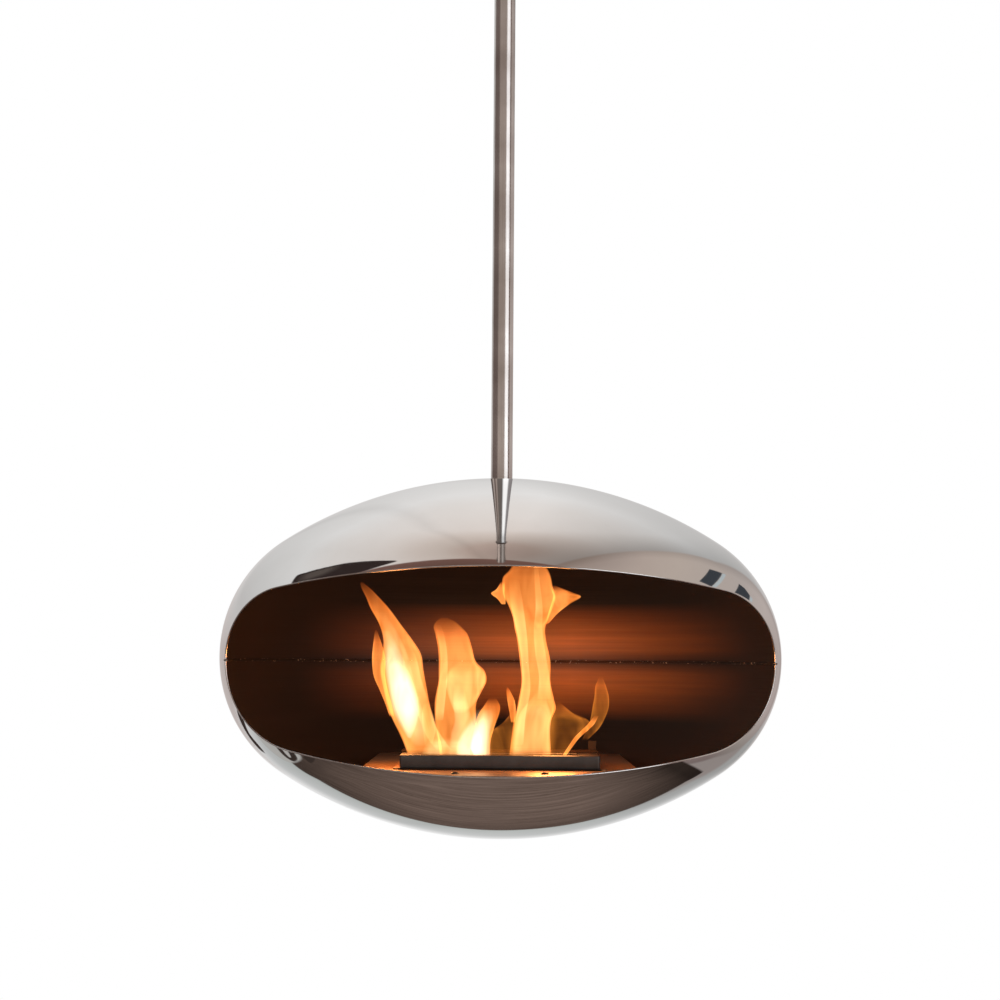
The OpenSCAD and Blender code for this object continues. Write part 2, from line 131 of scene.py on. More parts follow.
def mark(mesh, name, values):
    """Gives each vertex a number that a finish can read."""
    mesh.attributes.new(name, "FLOAT", "POINT").data.foreach_set("value", values)


def shade_smooth(mesh, sharp):
    """Smooth shading, but for edges where faces meet at more than a number of degrees."""
    mesh.polygons.foreach_set("use_smooth", [True] * len(mesh.polygons))
    mesh.set_sharp_from_angle(angle=math.radians(sharp))


def bowl(name, up, mouth_h, mouth_r, hole_r, finishes):
    """A spun bowl with its share of the mouth. up is 1 for the upper bowl and -1 for the lower one."""
    mouth_cols, back_cols, rows, edge_steps = 190, 150, 76, 6
    edge = Oval(MOUTH_HALF, mouth_h, mouth_r)
    across = np.linspace(-1, 1, mouth_cols)
    edge_slope = edge.slope(edge.run(math.pi / 2) * np.abs(across))
    rim_x, rim_h = edge.at(edge_slope)
    rim_x = rim_x * np.sign(across)
    rim_h = rim_h - up * SEAM_DROP
    # Directions from the cut edge into the opening
    cut = np.stack([-np.sin(edge_slope) * np.sign(across), 0 * across, -up * np.cos(edge_slope)], -1)

    # The mouth's columns end where the inner skin meets the oval, and the edge is square to the sheet
    inner_r = SIDE_R - WALL
    end = np.arccos((rim_h + WALL / 2) / inner_r)
    reach = PROFILE.side_x + inner_r * np.sin(end)
    turn = np.arctan2(-np.sqrt(reach ** 2 - rim_x ** 2), rim_x)
    back = np.linspace(turn[-1], turn[0] + TURN, back_cols + 2)[1:-1]
    turn = np.concatenate([turn, back])
    inward = -np.stack([np.cos(turn), np.sin(turn), 0 * turn], -1)
    c, s = np.cos(turn)[:, None], np.sin(turn)[:, None]
    skins = []
    for inset in (0.0, WALL):
        seam = math.acos(-up * SEAM_DROP / (SIDE_R - inset))
        ends = np.concatenate([np.minimum(end, seam), np.full(back_cols, seam)])
        start = PROFILE.run(np.float64(math.asin(hole_r / (PROFILE.crown_r - inset))))
        share = np.linspace(0, 1, rows + 1)
        slope = PROFILE.slope(start + (PROFILE.run(ends) - start)[:, None] * share[None, :])
        r, h = PROFILE.at(slope, inset)
        points = np.stack([r * c, r * s, POD_Z + up * h], -1)
        normal = np.stack([np.sin(slope) * c, np.sin(slope) * s, up * np.cos(slope)], -1)
        skins.append((points, normal if inset == 0 else -normal))

    # Each skin's corners as (vertex, normal). Without a hole, one vertex closes it in the middle
    cols = mouth_cols + back_cols
    verts, sheets = [], []
    for points, normal in skins:
        sheet = {}
        for j, k in np.ndindex(cols, rows + 1):
            shared = hole_r == 0 and k == 0 and j > 0
            sheet[j, k] = (sheet[0, 0][0] if shared else len(verts), normal[j, k])
            if not shared:
                verts.append(points[j, k])
        sheets.append(sheet)
    outer, inner = sheets

    # The rounded edge of the sheet, from the outer skin over to the inner one
    rounds = []
    for j in range(cols):
        steps = [outer[j, rows]]
        if j < mouth_cols:
            normal = outer[j, rows][1]
            over = cut[j] - np.dot(cut[j], normal) * normal
            over /= np.linalg.norm(over)
            middle = (skins[0][0][j, rows] + skins[1][0][j, rows]) / 2
            for i in range(1, edge_steps):
                angle = math.pi * i / edge_steps
                lean = math.cos(angle) * normal + math.sin(angle) * over
                steps.append((len(verts), lean))
                verts.append(middle + lean * WALL / 2)
        rounds.append(steps + [inner[j, rows]])

    faces, normals, kinds = [], [], []

    def face(corners, kind, flip):
        """A face from (vertex, normal) corners, without the ones that fall together."""
        kept = [c for i, c in enumerate(corners) if c[0] != corners[i - 1][0]]
        if flip:
            kept.reverse()
        faces.append([int(c[0]) for c in kept])
        normals.extend(c[1] for c in kept)
        kinds.append(kind)

    level = np.array([0, 0, -up])
    for j in range(cols):
        n = (j + 1) % cols
        for k in range(rows):
            quad = ((j, k), (j, k + 1), (n, k + 1), (n, k))
            face([outer[q] for q in quad], 0, up < 0)
            face([inner[q] for q in quad], 1, up > 0)
        if j < mouth_cols - 1:
            for i in range(edge_steps):
                face([rounds[j][i], rounds[j][i + 1], rounds[n][i + 1], rounds[n][i]], 2, up < 0)
        else:
            face([(v, level) for v, _ in rounds[j] + rounds[n][::-1]], 0, up < 0)
        if hole_r > 0:
            face([(sheet[i, 0][0], inward[i]) for sheet, i in
                  ((inner, j), (outer, j), (outer, n), (inner, n))], 0, up < 0)

    mesh = mesh_of(name, verts, faces)
    mesh.polygons.foreach_set("material_index", kinds)
    mesh.polygons.foreach_set("use_smooth", [True] * len(faces))
    mesh.normals_split_custom_set([tuple(n) for n in normals])
    return place(name, mesh, finishes)


def circle(r, z, count):
    return [(r * math.cos(TURN * i / count), r * math.sin(TURN * i / count), z) for i in range(count)]


def round_rect(w, d, r, z, y):
    """A level loop round a rectangle with round corners, with its middle at y."""
    loop, steps = [], 6
    for quarter, (sx, sy) in enumerate(((1, 1), (-1, 1), (-1, -1), (1, -1))):
        for i in range(steps + 1):
            a = (quarter + i / steps) * math.pi / 2
            loop.append((sx * (w / 2 - r) + r * math.cos(a), y + sy * (d / 2 - r) + r * math.sin(a), z))
    return loop


def skin(name, loops, finishes, closed=False, bevel=0.0, sharp=40):
    """A solid through loops of points. It closes on itself like a ring, or has a cap at each end."""
    bm = bmesh.new()
    rings = []
    for loop in loops:
        if len(loop) == 1:
            rings.append([bm.verts.new(loop[0])] * len(max(loops, key=len)))
        else:
            rings.append([bm.verts.new(p) for p in loop])
    pairs = list(zip(rings, rings[1:])) + ([(rings[-1], rings[0])] if closed else [])
    for low, high in pairs:
        count = len(low)
        for i in range(count):
            j = (i + 1) % count
            corners = [low[i], low[j], high[j], high[i]]
            kept = [v for k, v in enumerate(corners) if v is not corners[k - 1]]
            if len(kept) > 2:
                bm.faces.new(kept)
    if not closed:
        for ring in (rings[0], rings[-1]):
            if ring[0] is not ring[1]:
                bm.faces.new(ring)
    bmesh.ops.recalc_face_normals(bm, faces=bm.faces)
    if bevel:
        hard = [e for e in bm.edges if e.is_manifold and e.calc_face_angle(0) > math.radians(sharp)]
        bmesh.ops.bevel(bm, geom=hard, offset=bevel, segments=3, profile=0.5,
                        affect="EDGES", clamp_overlap=True)
        bmesh.ops.recalc_face_normals(bm, faces=bm.faces)
    mesh = bpy.data.meshes.new(name)
    bm.to_mesh(mesh)
    bm.free()
    shade_smooth(mesh, sharp)
    return place(name, mesh, finishes)


def lathe(name, profile, finishes, closed=True, count=96):
    """A turned piece from its half section, as (radius, height) pairs."""
    loops = [circle(r, z, count) if r > 0 else [(0, 0, z)] for r, z in profile]
    return skin(name, loops, finishes, closed)


def arc_section(cx, cz, r, start, end):
    """Points of an arc in a half section, between two angles in degrees."""
    steps = 8
    angles = [math.radians(start + (end - start) * i / steps) for i in range(steps + 1)]
    return [(cx + r * math.cos(a), cz + r * math.sin(a)) for a in angles]


# ---- Finishes ----

def full(colour):
    """A colour with its alpha. Other values stay as they are."""
    return (*colour, 1) if isinstance(colour, tuple) else colour


class Nodes:
    """Short ways to add nodes to a tree."""

    def __init__(self, tree):
        self.nodes, self.links = tree.nodes, tree.links

    def node(self, kind, values=(), **settings):
        """A node with its settings and inputs. A list links several sockets to one input."""
        made = self.nodes.new(kind if "Node" in kind else "ShaderNode" + kind)
        for key, value in settings.items():
            setattr(made, key, value)
        for key, value in dict(values).items():
            for one in value if isinstance(value, list) else [value]:
                if isinstance(one, bpy.types.NodeSocket):
                    self.links.new(one, made.inputs[key])
                else:
                    made.inputs[key].default_value = one
        return made

    def math(self, operation, a, b=0.0):
        return self.node("Math", {0: a, 1: b}, operation=operation).outputs[0]

    def plus(self, a, b):
        return self.math("ADD", a, b)

    def times(self, a, b, *more):
        product = self.math("MULTIPLY", a, b)
        return self.times(product, *more) if more else product

    def vector(self, x=0.0, y=0.0, z=0.0):
        return self.node("CombineXYZ", {0: x, 1: y, 2: z}).outputs[0]


class Shades(Nodes):
    """Short ways to work out a colour, a roughness, a bump or a whole shader."""

    def where(self, scale=(1, 1, 1), shift=(0, 0, 0)):
        """Object coordinates, scaled so that a pattern can be drawn out along an axis."""
        coords = self.node("TexCoord").outputs["Object"]
        return self.node("Mapping", {"Vector": coords, "Scale": scale, "Location": shift}).outputs[0]

    def axis(self, letter, vector=None):
        """One coordinate of a vector, or else of the place in the object."""
        return self.node("SeparateXYZ", {0: self.where() if vector is None else vector}).outputs[letter]

    def noise(self, vector, scale, detail=3.0, roughness=0.55):
        return self.node("TexNoise", {"Vector": vector, "Scale": scale, "Detail": detail,
                                      "Roughness": roughness}).outputs["Fac"]

    def radius(self, centre=(0, 0, 0), flat=(1, 1, 0)):
        """Distance from an axis or a point, in metres."""
        shifted = self.where(flat, tuple(-c * f for c, f in zip(centre, flat)))
        return self.node("VectorMath", {0: shifted}, operation="LENGTH").outputs["Value"]

    def ramp(self, factor, *stops):
        """A colour or grey that follows a factor through (place, colour) stops."""
        made = self.node("ValToRGB", {"Fac": factor})
        while len(made.color_ramp.elements) < len(stops):
            made.color_ramp.elements.new(0.5)
        for element, (at, colour) in zip(made.color_ramp.elements, stops):
            element.position = at
            element.color = full(colour if isinstance(colour, tuple) else (colour,) * 3)
        return made.outputs["Color"]

    def span(self, factor, low, high, new_low=0.0, new_high=1.0):
        """Takes a factor from one span of values to another, and no further."""
        return self.node("MapRange", {"Value": factor, "From Min": low, "From Max": high,
                                      "To Min": new_low, "To Max": new_high}).outputs["Result"]

    def dot(self, vector, other):
        return self.node("VectorMath", {0: vector, 1: other}, operation="DOT_PRODUCT").outputs["Value"]

    def mix(self, factor, a, b):
        """A colour between two colours."""
        return self.node("Mix", {0: factor, 6: full(a), 7: full(b)}, data_type="RGBA").outputs[2]

    def dim(self, colour, factor):
        """A colour times a grey factor."""
        return self.mix(factor, (0, 0, 0), colour)

    def bump(self, height, strength, distance, under=None):
        values = {"Height": height, "Strength": strength, "Distance": distance}
        if under is not None:
            values["Normal"] = under
        return self.node("Bump", values).outputs["Normal"]

    def blend(self, factor, a, b):
        """A shader between two shaders."""
        return self.node("MixShader", {0: factor, 1: a, 2: b}).outputs[0]

    def clear(self):
        return self.node("BsdfTransparent").outputs[0]

    def shine(self, colour, strength=1.0):
        return self.node("Emission", {"Color": full(colour), "Strength": strength}).outputs[0]

    def back_side(self):
        """1 where a face is seen from its back, 0 where it is seen from its front."""
        return self.node("NewGeometry").outputs["Backfacing"]


class Finish(Shades):
    """A material in the making: its shader, and the nodes that feed it."""

    def __init__(self, name, **fixed):
        self.material = bpy.data.materials.new(name)
        self.material.use_nodes = True
        super().__init__(self.material.node_tree)
        self.shader = self.nodes["Principled BSDF"]
        self.set(**fixed)

    def set(self, **fixed):
        """Sets or links the shader's inputs, and gives the material."""
        for key, value in fixed.items():
            socket = self.shader.inputs[key.replace("_", " ")]
            if isinstance(value, bpy.types.NodeSocket):
                self.links.new(value, socket)
            else:
                socket.default_value = full(value)
        return self.material

    def surface(self, shader):
        """Makes a shader the material's surface, and gives the material."""
        self.links.new(shader, self.nodes["Material Output"].inputs["Surface"])
        return self.material

    def glow(self, shader):
        """As surface, for a material that leaves the plain shader out."""
        self.nodes.remove(self.shader)
        return self.surface(shader)


WALL_GLOW_MIDDLE = (0.055, 0.31, 0)                     # middle of the flames' glow painted on the pod's back wall
SLOT_MIDDLE = (0, -0.104, POD_Z - 0.118)       # the middle of the flame slot, where the hearth's heat tint and painted flame glow are strongest
SHADOW_BEFORE, SHADOW_BEHIND, SHADOW_EDGE = 0.01, 0.006, 0.004      # the painted shadow band at the burner's front


def mirror_steel():
    """Spun stainless steel, polished to a mirror, with faint smudges and buffing lines."""
    f = Finish("mirror_polished_steel", Metallic=1.0, Specular_Tint=(0.92, 0.91, 0.91))
    smudge = f.noise(f.where(), 9, 4, 0.6)
    lines = f.noise(f.where((1, 1, 260)), 5, 2)
    tone = f.ramp(smudge, (0.35, (0.765, 0.755, 0.745)), (0.7, (0.80, 0.795, 0.79)))
    rough = f.plus(f.span(smudge, 0.3, 0.75, 0.018, 0.05), f.span(lines, 0.45, 0.8, 0.0, 0.02))
    return f.set(Base_Color=tone, Roughness=rough, Normal=f.bump(lines, 0.005, 0.0004))


def edge_steel():
    """The cut and dressed edge of the sheet, with fine file marks along it."""
    f = Finish("dressed_sheet_edge", Metallic=1.0)
    marks = f.noise(f.where((60, 400, 60)), 6, 3)
    return f.set(Base_Color=f.ramp(marks, (0.3, (0.62, 0.6, 0.585)), (0.7, (0.86, 0.85, 0.84))),
                 Roughness=f.span(marks, 0.3, 0.7, 0.12, 0.22), Normal=f.bump(marks, 0.06, 0.0002))


def fire_paint():
    """Heat-proof paint over the spinning's level lines, with the flames' glow painted on as orange
    bands above and below the seam.
    """
    f = Finish("fire_paint")
    lines = f.noise(f.where((3, 3, 900)), 1.6, 4, 0.7)
    broad = f.noise(f.where((2, 2, 60)), 2.2, 3)
    fine = f.noise(f.where(), 1400, 2)
    off_seam = f.math("ABSOLUTE", f.axis("Z", f.where(shift=(0, 0, SEAM_DROP - POD_Z))))
    # Painted glow: the flames' light as orange colour in bands above and below the seam, strongest
    # round the back wall's middle
    band = f.times(f.span(off_seam, 0.001, 0.016, 0.1, 1.0), f.span(off_seam, 0.03, 0.075, 1, 0))
    reach = f.math("POWER", f.span(f.radius(WALL_GLOW_MIDDLE), 0.04, 0.34, 1, 0), 1.7)
    flame_glow = f.times(reach, band, f.span(broad, 0.25, 0.7, 0.7, 1.0))
    cold = f.ramp(lines, (0.3, (0.012, 0.0105, 0.01)), (0.75, (0.036, 0.029, 0.0265)))
    # Painted sheen: the right side of the inside is drawn towards a cool grey, for the room's light
    cold = f.mix(f.span(f.axis("X"), 0.1, 0.26, 0, 0.7), cold, (0.016, 0.024, 0.028))
    glow_colour = f.ramp(lines, (0.3, (0.84, 0.235, 0.04)), (0.75, (0.97, 0.32, 0.065)))
    rough = f.plus(f.span(lines, 0.3, 0.75, 0.36, 0.5), f.span(fine, 0.3, 0.7, -0.03, 0.03))
    specks = f.times(f.span(f.noise(f.where(), 300, 1), 0.68, 0.71), f.span(off_seam, 0.0022, 0.0016))
    tone = f.mix(specks, f.mix(flame_glow, cold, glow_colour), (0.85, 0.62, 0.45))
    bump = f.bump(fine, 0.12, 0.0002, f.bump(lines, 0.35, 0.0003))
    return f.set(Base_Color=tone, Metallic=0.0, Roughness=rough, Normal=bump)


def pole_steel():
    """Steel polished along the tube, with fine streaks drawn out along it."""
    f = Finish("pole_steel", Metallic=1.0)
    light, dark = (0.80, 0.775, 0.76), (0.5, 0.46, 0.44)
    streaks = f.noise(f.where((900, 900, 7)), 1.0, 4, 0.65)
    fine = f.noise(f.where((2700, 2700, 21)), 1.0, 2)
    cloud = f.noise(f.where(), 14, 3)
    tone = f.mix(f.span(cloud, 0.3, 0.7), dark, light)
    tone = f.mix(f.span(streaks, 0.32, 0.68, 0.0, 0.45), tone, dark)
    rough = f.plus(f.span(streaks, 0.3, 0.7, 0.1, 0.2), f.span(cloud, 0.3, 0.7, 0, 0.03))
    bump = f.bump(fine, 0.06, 0.0002, f.bump(streaks, 0.12, 0.0003))
    return f.set(Base_Color=tone, Roughness=rough, Normal=bump)


def turned_steel(name, tone, rough, rings=1500.0):
    """Metal with the fine rings of a lathe tool."""
    f = Finish(name, Metallic=1.0)
    across = f.times(f.plus(f.radius(), f.axis("Z")), rings)
    ring = f.noise(f.vector(across), 1.0, 3, 0.6)
    cloud = f.noise(f.where(), 60, 3)
    shade = tuple(c * 0.72 for c in tone)
    return f.set(Base_Color=f.mix(f.span(cloud, 0.3, 0.75), shade, tone),
                 Roughness=f.span(ring, 0.3, 0.7, rough * 0.8, rough * 1.3),
                 Normal=f.bump(ring, 0.15, 0.0002))


def zinc_plate():
    """Bright zinc with its crystal spangle."""
    f = Finish("zinc_plated_steel", Metallic=1.0)
    cells = f.node("TexVoronoi", {"Vector": f.where(), "Scale": 260.0})
    shade = f.axis("X", cells.outputs["Color"])
    fine = f.noise(f.where(), 900, 2)
    return f.set(Base_Color=f.ramp(shade, (0.1, (0.47, 0.49, 0.52)), (0.9, (0.68, 0.7, 0.73))),
                 Roughness=f.span(shade, 0, 1, 0.26, 0.4), Normal=f.bump(fine, 0.08, 0.0002))


def hearth_steel(name, shade=1.0):
    """Brushed steel sheet, with a tint round the flame slot that is part heat tint and part painted
    glow of the flames, and a painted shadow before the raised bar.
    """
    f = Finish(name, Metallic=0.75)
    brush = f.noise(f.where((30, 1400, 30)), 1.0, 4, 0.65)
    cloud = f.noise(f.where(), 26, 4)
    # Part heat tint, part painted glow: the sheet turns orange-brown towards the flame slot
    reach = f.radius(SLOT_MIDDLE, (0.55, 1, 1))
    flame_glow = f.plus(f.span(reach, 0.02, 0.17), f.span(cloud, 0.2, 0.8, -0.12, 0.12))
    tint = f.ramp(flame_glow, (0.0, (0.42, 0.2, 0.1)), (0.25, (0.52, 0.25, 0.11)), (0.5, (0.56, 0.32, 0.16)),
                  (0.8, (0.46, 0.35, 0.27)), (1.0, (0.4, 0.35, 0.31)))
    tone = f.mix(f.span(brush, 0.3, 0.7, 0, 0.4), tint, (0.22, 0.15, 0.11))
    y = f.axis("Y")
    # Painted shadow: the plate is darkened to near black in a band just before the raised bar
    beside = f.span(f.math("ABSOLUTE", f.axis("X")), BURNER_W / 2 + 0.003, BURNER_W / 2)
    before = f.times(f.span(y, BURNER_FRONT - SHADOW_BEFORE - SHADOW_EDGE, BURNER_FRONT - SHADOW_BEFORE),
                     f.span(y, BURNER_FRONT + SHADOW_BEHIND, BURNER_FRONT + SHADOW_BEHIND - SHADOW_EDGE))
    shade = f.times(shade, f.span(f.times(beside, before), 0, 1, 1, 0.05))
    return f.set(Base_Color=f.dim(tone, shade), Roughness=f.span(brush, 0.3, 0.7, 0.26, 0.4),
                 Normal=f.bump(brush, 0.12, 0.0003))


def burner_steel():
    """Dark satin sheet of the burner, with soot and rubbed edges."""
    f = Finish("burner_steel", Metallic=0.85)
    brush = f.noise(f.where((14, 1100, 1100)), 1.0, 3, 0.6)
    soot = f.noise(f.where(), 34, 4, 0.65)
    rub = f.span(f.node("NewGeometry").outputs["Pointiness"], 0.52, 0.6)
    tone = f.mix(f.span(soot, 0.35, 0.7), (0.1, 0.09, 0.083), (0.055, 0.048, 0.045))
    return f.set(Base_Color=f.mix(f.times(rub, 0.6), tone, (0.32, 0.29, 0.27)),
                 Roughness=f.span(brush, 0.3, 0.7, 0.34, 0.5), Normal=f.bump(brush, 0.1, 0.0002))


def mineral_wool():
    """Matted white fibres, yellowed at the top by the fuel."""
    f = Finish("mineral_wool", Roughness=1.0)
    fibres = f.noise(f.where((500, 900, 700)), 1.0, 5, 0.75)
    lumps = f.noise(f.where(), 90, 3)
    tone = f.ramp(fibres, (0.3, (0.52, 0.47, 0.4)), (0.65, (0.86, 0.83, 0.77)))
    return f.set(Base_Color=tone, Normal=f.bump(fibres, 0.8, 0.001, f.bump(lumps, 0.6, 0.003)))


MIRROR, EDGE, PAINT, POLE = mirror_steel(), edge_steel(), fire_paint(), pole_steel()
RING = turned_steel("polished_ring_steel", (0.78, 0.76, 0.74), 0.1)
FITTING = turned_steel("turned_steel", (0.55, 0.55, 0.56), 0.28)
RACE = turned_steel("ground_bearing_steel", (0.7, 0.7, 0.71), 0.12, 3000)
BRASS = turned_steel("machined_bronze", (0.62, 0.45, 0.2), 0.25)
ZINC, BURNER, WOOL = zinc_plate(), burner_steel(), mineral_wool()
# The damper's steel is the hearth steel darkened to a tenth: painted shade
HEARTH, SHADED_HEARTH = hearth_steel("heat_tint_and_glow_steel"), hearth_steel("shaded_hearth_steel", 0.1)

# ---- The pod ----

upper = bowl("upper_bowl_shell", 1, MOUTH_UP, MOUTH_TOP_R, STUD_HOLE_R, [MIRROR, PAINT, EDGE])
fit(upper, POD, "upper_bowl")
lower = bowl("lower_bowl_shell", -1, MOUTH_DOWN, MOUTH_LOW_R, 0.0, [MIRROR, PAINT, EDGE])
fit(lower, POD, "lower_bowl")


# ---- What repeats: weld ripples and socket screws ----

class Tree(Nodes):
    """A geometry tree with named inputs."""

    def __init__(self, name, **inputs):
        self.group = bpy.data.node_groups.new(name, "GeometryNodeTree")
        super().__init__(self.group)
        sockets, self.values = self.group.interface, {}
        sockets.new_socket("Geometry", in_out="INPUT", socket_type="NodeSocketGeometry")
        sockets.new_socket("Geometry", in_out="OUTPUT", socket_type="NodeSocketGeometry")
        kinds = {float: "Float", int: "Int", bpy.types.Material: "Material"}
        for key, value in inputs.items():
            socket = sockets.new_socket(key.replace("_", " "), in_out="INPUT",
                                        socket_type="NodeSocket" + kinds[type(value)])
            self.values[socket.identifier] = value
        self.given = self.nodes.new("NodeGroupInput").outputs
        self.result = self.nodes.new("NodeGroupOutput").inputs

    def shape(self, kind, values=(), **settings):
        """The first output of a geometry node."""
        return self.node("GeometryNode" + kind, values, **settings).outputs[0]

    def work_out(self, kind, values=(), **settings):
        """The first output of a function node."""
        return self.node("FunctionNode" + kind, values, **settings).outputs[0]

    def vary(self, low, high):
        """A vector at random between two vectors."""
        return self.work_out("RandomValue", {"Min": low, "Max": high, "Seed": self.given["Seed"]},
                             data_type="FLOAT_VECTOR")

    def lift(self, geometry, by):
        return self.shape("Transform", {"Geometry": geometry, "Translation": self.vector(z=by)})

    def finish(self, geometry):
        """Ends the tree: instances made real, and one finish."""
        real = self.shape("RealizeInstances", {"Geometry": geometry})
        done = self.shape("SetMaterial", {"Geometry": real, "Material": self.given["Finish"]})
        self.links.new(done, self.result[0])

    def make(self, name, base):
        """Runs the tree on a base mesh and gives the result as a plain object."""
        host = add(name + "_host", base)
        modifier = host.modifiers.new("tree", "NODES")
        modifier.node_group = self.group
        for key, value in self.values.items():
            modifier[key] = value
        graph = bpy.context.evaluated_depsgraph_get()
        mesh = bpy.data.meshes.new_from_object(host.evaluated_get(graph))
        mesh.name = name
        host.modifiers.remove(modifier)
        bpy.data.objects.remove(host)
        shade_smooth(mesh, 35)
        return add(name, mesh)


BEAD_SUNK = 0.0006                             # the bead's middle line inside the wall


def weld_ripples():
    """The inner weld: overlapping ripples of solidified metal on a low bead, all round the seam."""
    reach = PROFILE.side_x + SIDE_R - WALL - BEAD_SUNK
    gap = math.acos(MOUTH_HALF / reach)
    # Each ripple is a flat drop, turned and stretched a little at random
    tree = Tree("weld_ripples", Radius=reach, Start=-gap, Sweep=math.pi + 2 * gap, Bead_Radius=0.0017,
                Spacing=0.0023, Height=POD_Z - SEAM_DROP, Seed=7, Finish=PAINT)
    g = tree.given
    path = tree.shape("CurveArc", {"Radius": g["Radius"], "Start Angle": g["Start"],
                                   "Sweep Angle": g["Sweep"], "Resolution": 400})
    points = tree.shape("ResampleCurve", {"Curve": path, "Length": g["Spacing"]}, mode="LENGTH")
    drop = tree.shape("MeshUVSphere", {"Segments": 8, "Rings": 5, "Radius": g["Bead Radius"]})
    along = tree.work_out("AlignRotationToVector", {"Vector": tree.shape("InputTangent")}, axis="X")
    turned = tree.work_out("RotateRotation", {
        "Rotation": along, "Rotate By": tree.vary((-0.1, -0.45, -0.2), (0.1, -0.2, 0.2))},
        rotation_space="LOCAL")
    drops = tree.shape("InstanceOnPoints", {
        "Points": points, "Instance": drop, "Rotation": turned,
        "Scale": tree.vary((0.75, 0.55, 0.85), (1.0, 0.8, 1.15))})
    section = tree.shape("CurvePrimitiveCircle", {
        "Resolution": 8, "Radius": tree.times(g["Bead Radius"], 0.8)}, mode="RADIUS")
    bead = tree.shape("CurveToMesh", {"Curve": path, "Profile Curve": section, "Fill Caps": True})
    both = tree.shape("JoinGeometry", {"Geometry": [drops, bead]})
    tree.finish(tree.lift(both, g["Height"]))
    return tree.make("seam_weld_ripples", bpy.data.meshes.new("weld_base"))


def socket_screws(name, places, aims, head, shank, finish):
    """Screws with a domed and socketed head, (radius, height), and a shank, (radius, length)."""
    tree = Tree(name + "_tree", Head_Radius=head[0], Head_Height=head[1], Shank_Radius=shank[0],
                Shank_Length=shank[1], Socket_Radius=head[0] * 0.4, Finish=finish)
    g = tree.given
    height = g["Head Height"]
    ball_r = tree.times(g["Head Radius"], 1.3)
    ball = tree.shape("MeshUVSphere", {"Segments": 32, "Rings": 24, "Radius": ball_r})
    drum = tree.shape("MeshCylinder", {"Vertices": 32, "Radius": g["Head Radius"],
                                       "Depth": tree.times(height, 2.0)})
    dome = tree.shape("MeshBoolean", {"Mesh 2": [
        tree.lift(ball, tree.math("SUBTRACT", height, ball_r)), tree.lift(drum, height)]},
        operation="INTERSECT")
    key = tree.shape("MeshCylinder", {"Vertices": 6, "Radius": g["Socket Radius"], "Depth": height})
    cut = tree.shape("MeshBoolean", {"Mesh 1": dome, "Mesh 2": [tree.lift(key, height)]},
                     operation="DIFFERENCE")
    pin = tree.shape("MeshCylinder", {"Vertices": 24, "Radius": g["Shank Radius"],
                                      "Depth": g["Shank Length"]})
    pin = tree.lift(pin, tree.times(g["Shank Length"], -0.5))
    whole = tree.shape("JoinGeometry", {"Geometry": [cut, pin]})
    way = tree.shape("InputNamedAttribute", {"Name": "aim"}, data_type="FLOAT_VECTOR")
    turn = tree.work_out("AlignRotationToVector", {"Vector": way}, axis="Z")
    tree.finish(tree.shape("InstanceOnPoints", {"Points": g["Geometry"], "Instance": whole,
                                                "Rotation": turn}))
    base = mesh_of(name + "_places", places)
    base.attributes.new("aim", "FLOAT_VECTOR", "POINT").data.foreach_set(
        "vector", [c for one in aims for c in one])
    return tree.make(name, base)


weld = weld_ripples()
fit(weld, POD, "seam_weld")

PLATE_HEAD_R, PLATE_HEAD_H, PLATE_SHANK_R = 0.0045, 0.0024, 0.0025
plate_low, plate_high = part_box("plate_screws")
screw_x, screw_y = plate_high[0] - PLATE_HEAD_R, plate_high[1] - PLATE_HEAD_R
plate_screws = socket_screws(
    "plate_screw_heads", [(x * screw_x, y * screw_y, HEARTH_Z) for x in (-1, 1) for y in (-1, 1)],
    [(0, 0, 1)] * 4, (PLATE_HEAD_R, PLATE_HEAD_H), (PLATE_SHANK_R, HEARTH_Z - plate_low[2]), BURNER)
fit(plate_screws, POD, "plate_screws")

CANOPY_H, CANOPY_WALL, CANOPY_EDGE, PASS_R = 0.046, 0.0015, 0.009, 0.014
CANOPY_R = 0.0603 + CANOPY_WALL
CANOPY_HEAD, CANOPY_SHANK, CANOPY_SCREW_Z = (0.0027, 0.0014), (0.0015, 0.0085), -0.003
outward = [(math.cos(a), math.sin(a), 0) for a in (math.radians(30 + 120 * i) for i in range(3))]
canopy_screws = socket_screws(
    "canopy_screw_heads", [(CANOPY_R * x, CANOPY_R * y, CANOPY_SCREW_Z) for x, y, _ in outward],
    outward, CANOPY_HEAD, CANOPY_SHANK, ZINC)
fit(canopy_screws, CEILING, "canopy_screws")

# ---- Pole, ring and canopy ----

POLE_R, TUBE_R, CHAMFER = 0.0125, 0.0105, 0.0003
STUD_R, PLUG_R, STUD_IN = 0.00505, 0.01045, 0.025
pole_low, pole_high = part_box("pole")
top, foot = pole_high[2], pole_low[2]
pole = lathe("pole_tube", [(TUBE_R, foot), (POLE_R - CHAMFER, foot), (POLE_R, foot + CHAMFER),
                           (POLE_R, top - CHAMFER), (POLE_R - CHAMFER, top), (TUBE_R, top)], [POLE])
fit(pole, POD, "pole")

plug_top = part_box("pole_end_plug")[1][2]
ring = lathe("pole_ring", [(STUD_R, CROWN_Z), (POLE_R - CHAMFER, CROWN_Z), (POLE_R, CROWN_Z + CHAMFER),
                           (POLE_R, foot - CHAMFER), (POLE_R - CHAMFER, foot), (PLUG_R, foot),
                           (PLUG_R, plug_top), (0, plug_top), (0, CROWN_Z + STUD_IN),
                           (STUD_R, CROWN_Z + STUD_IN)], [RING])
fit(ring, POD, "pole_end_plug")

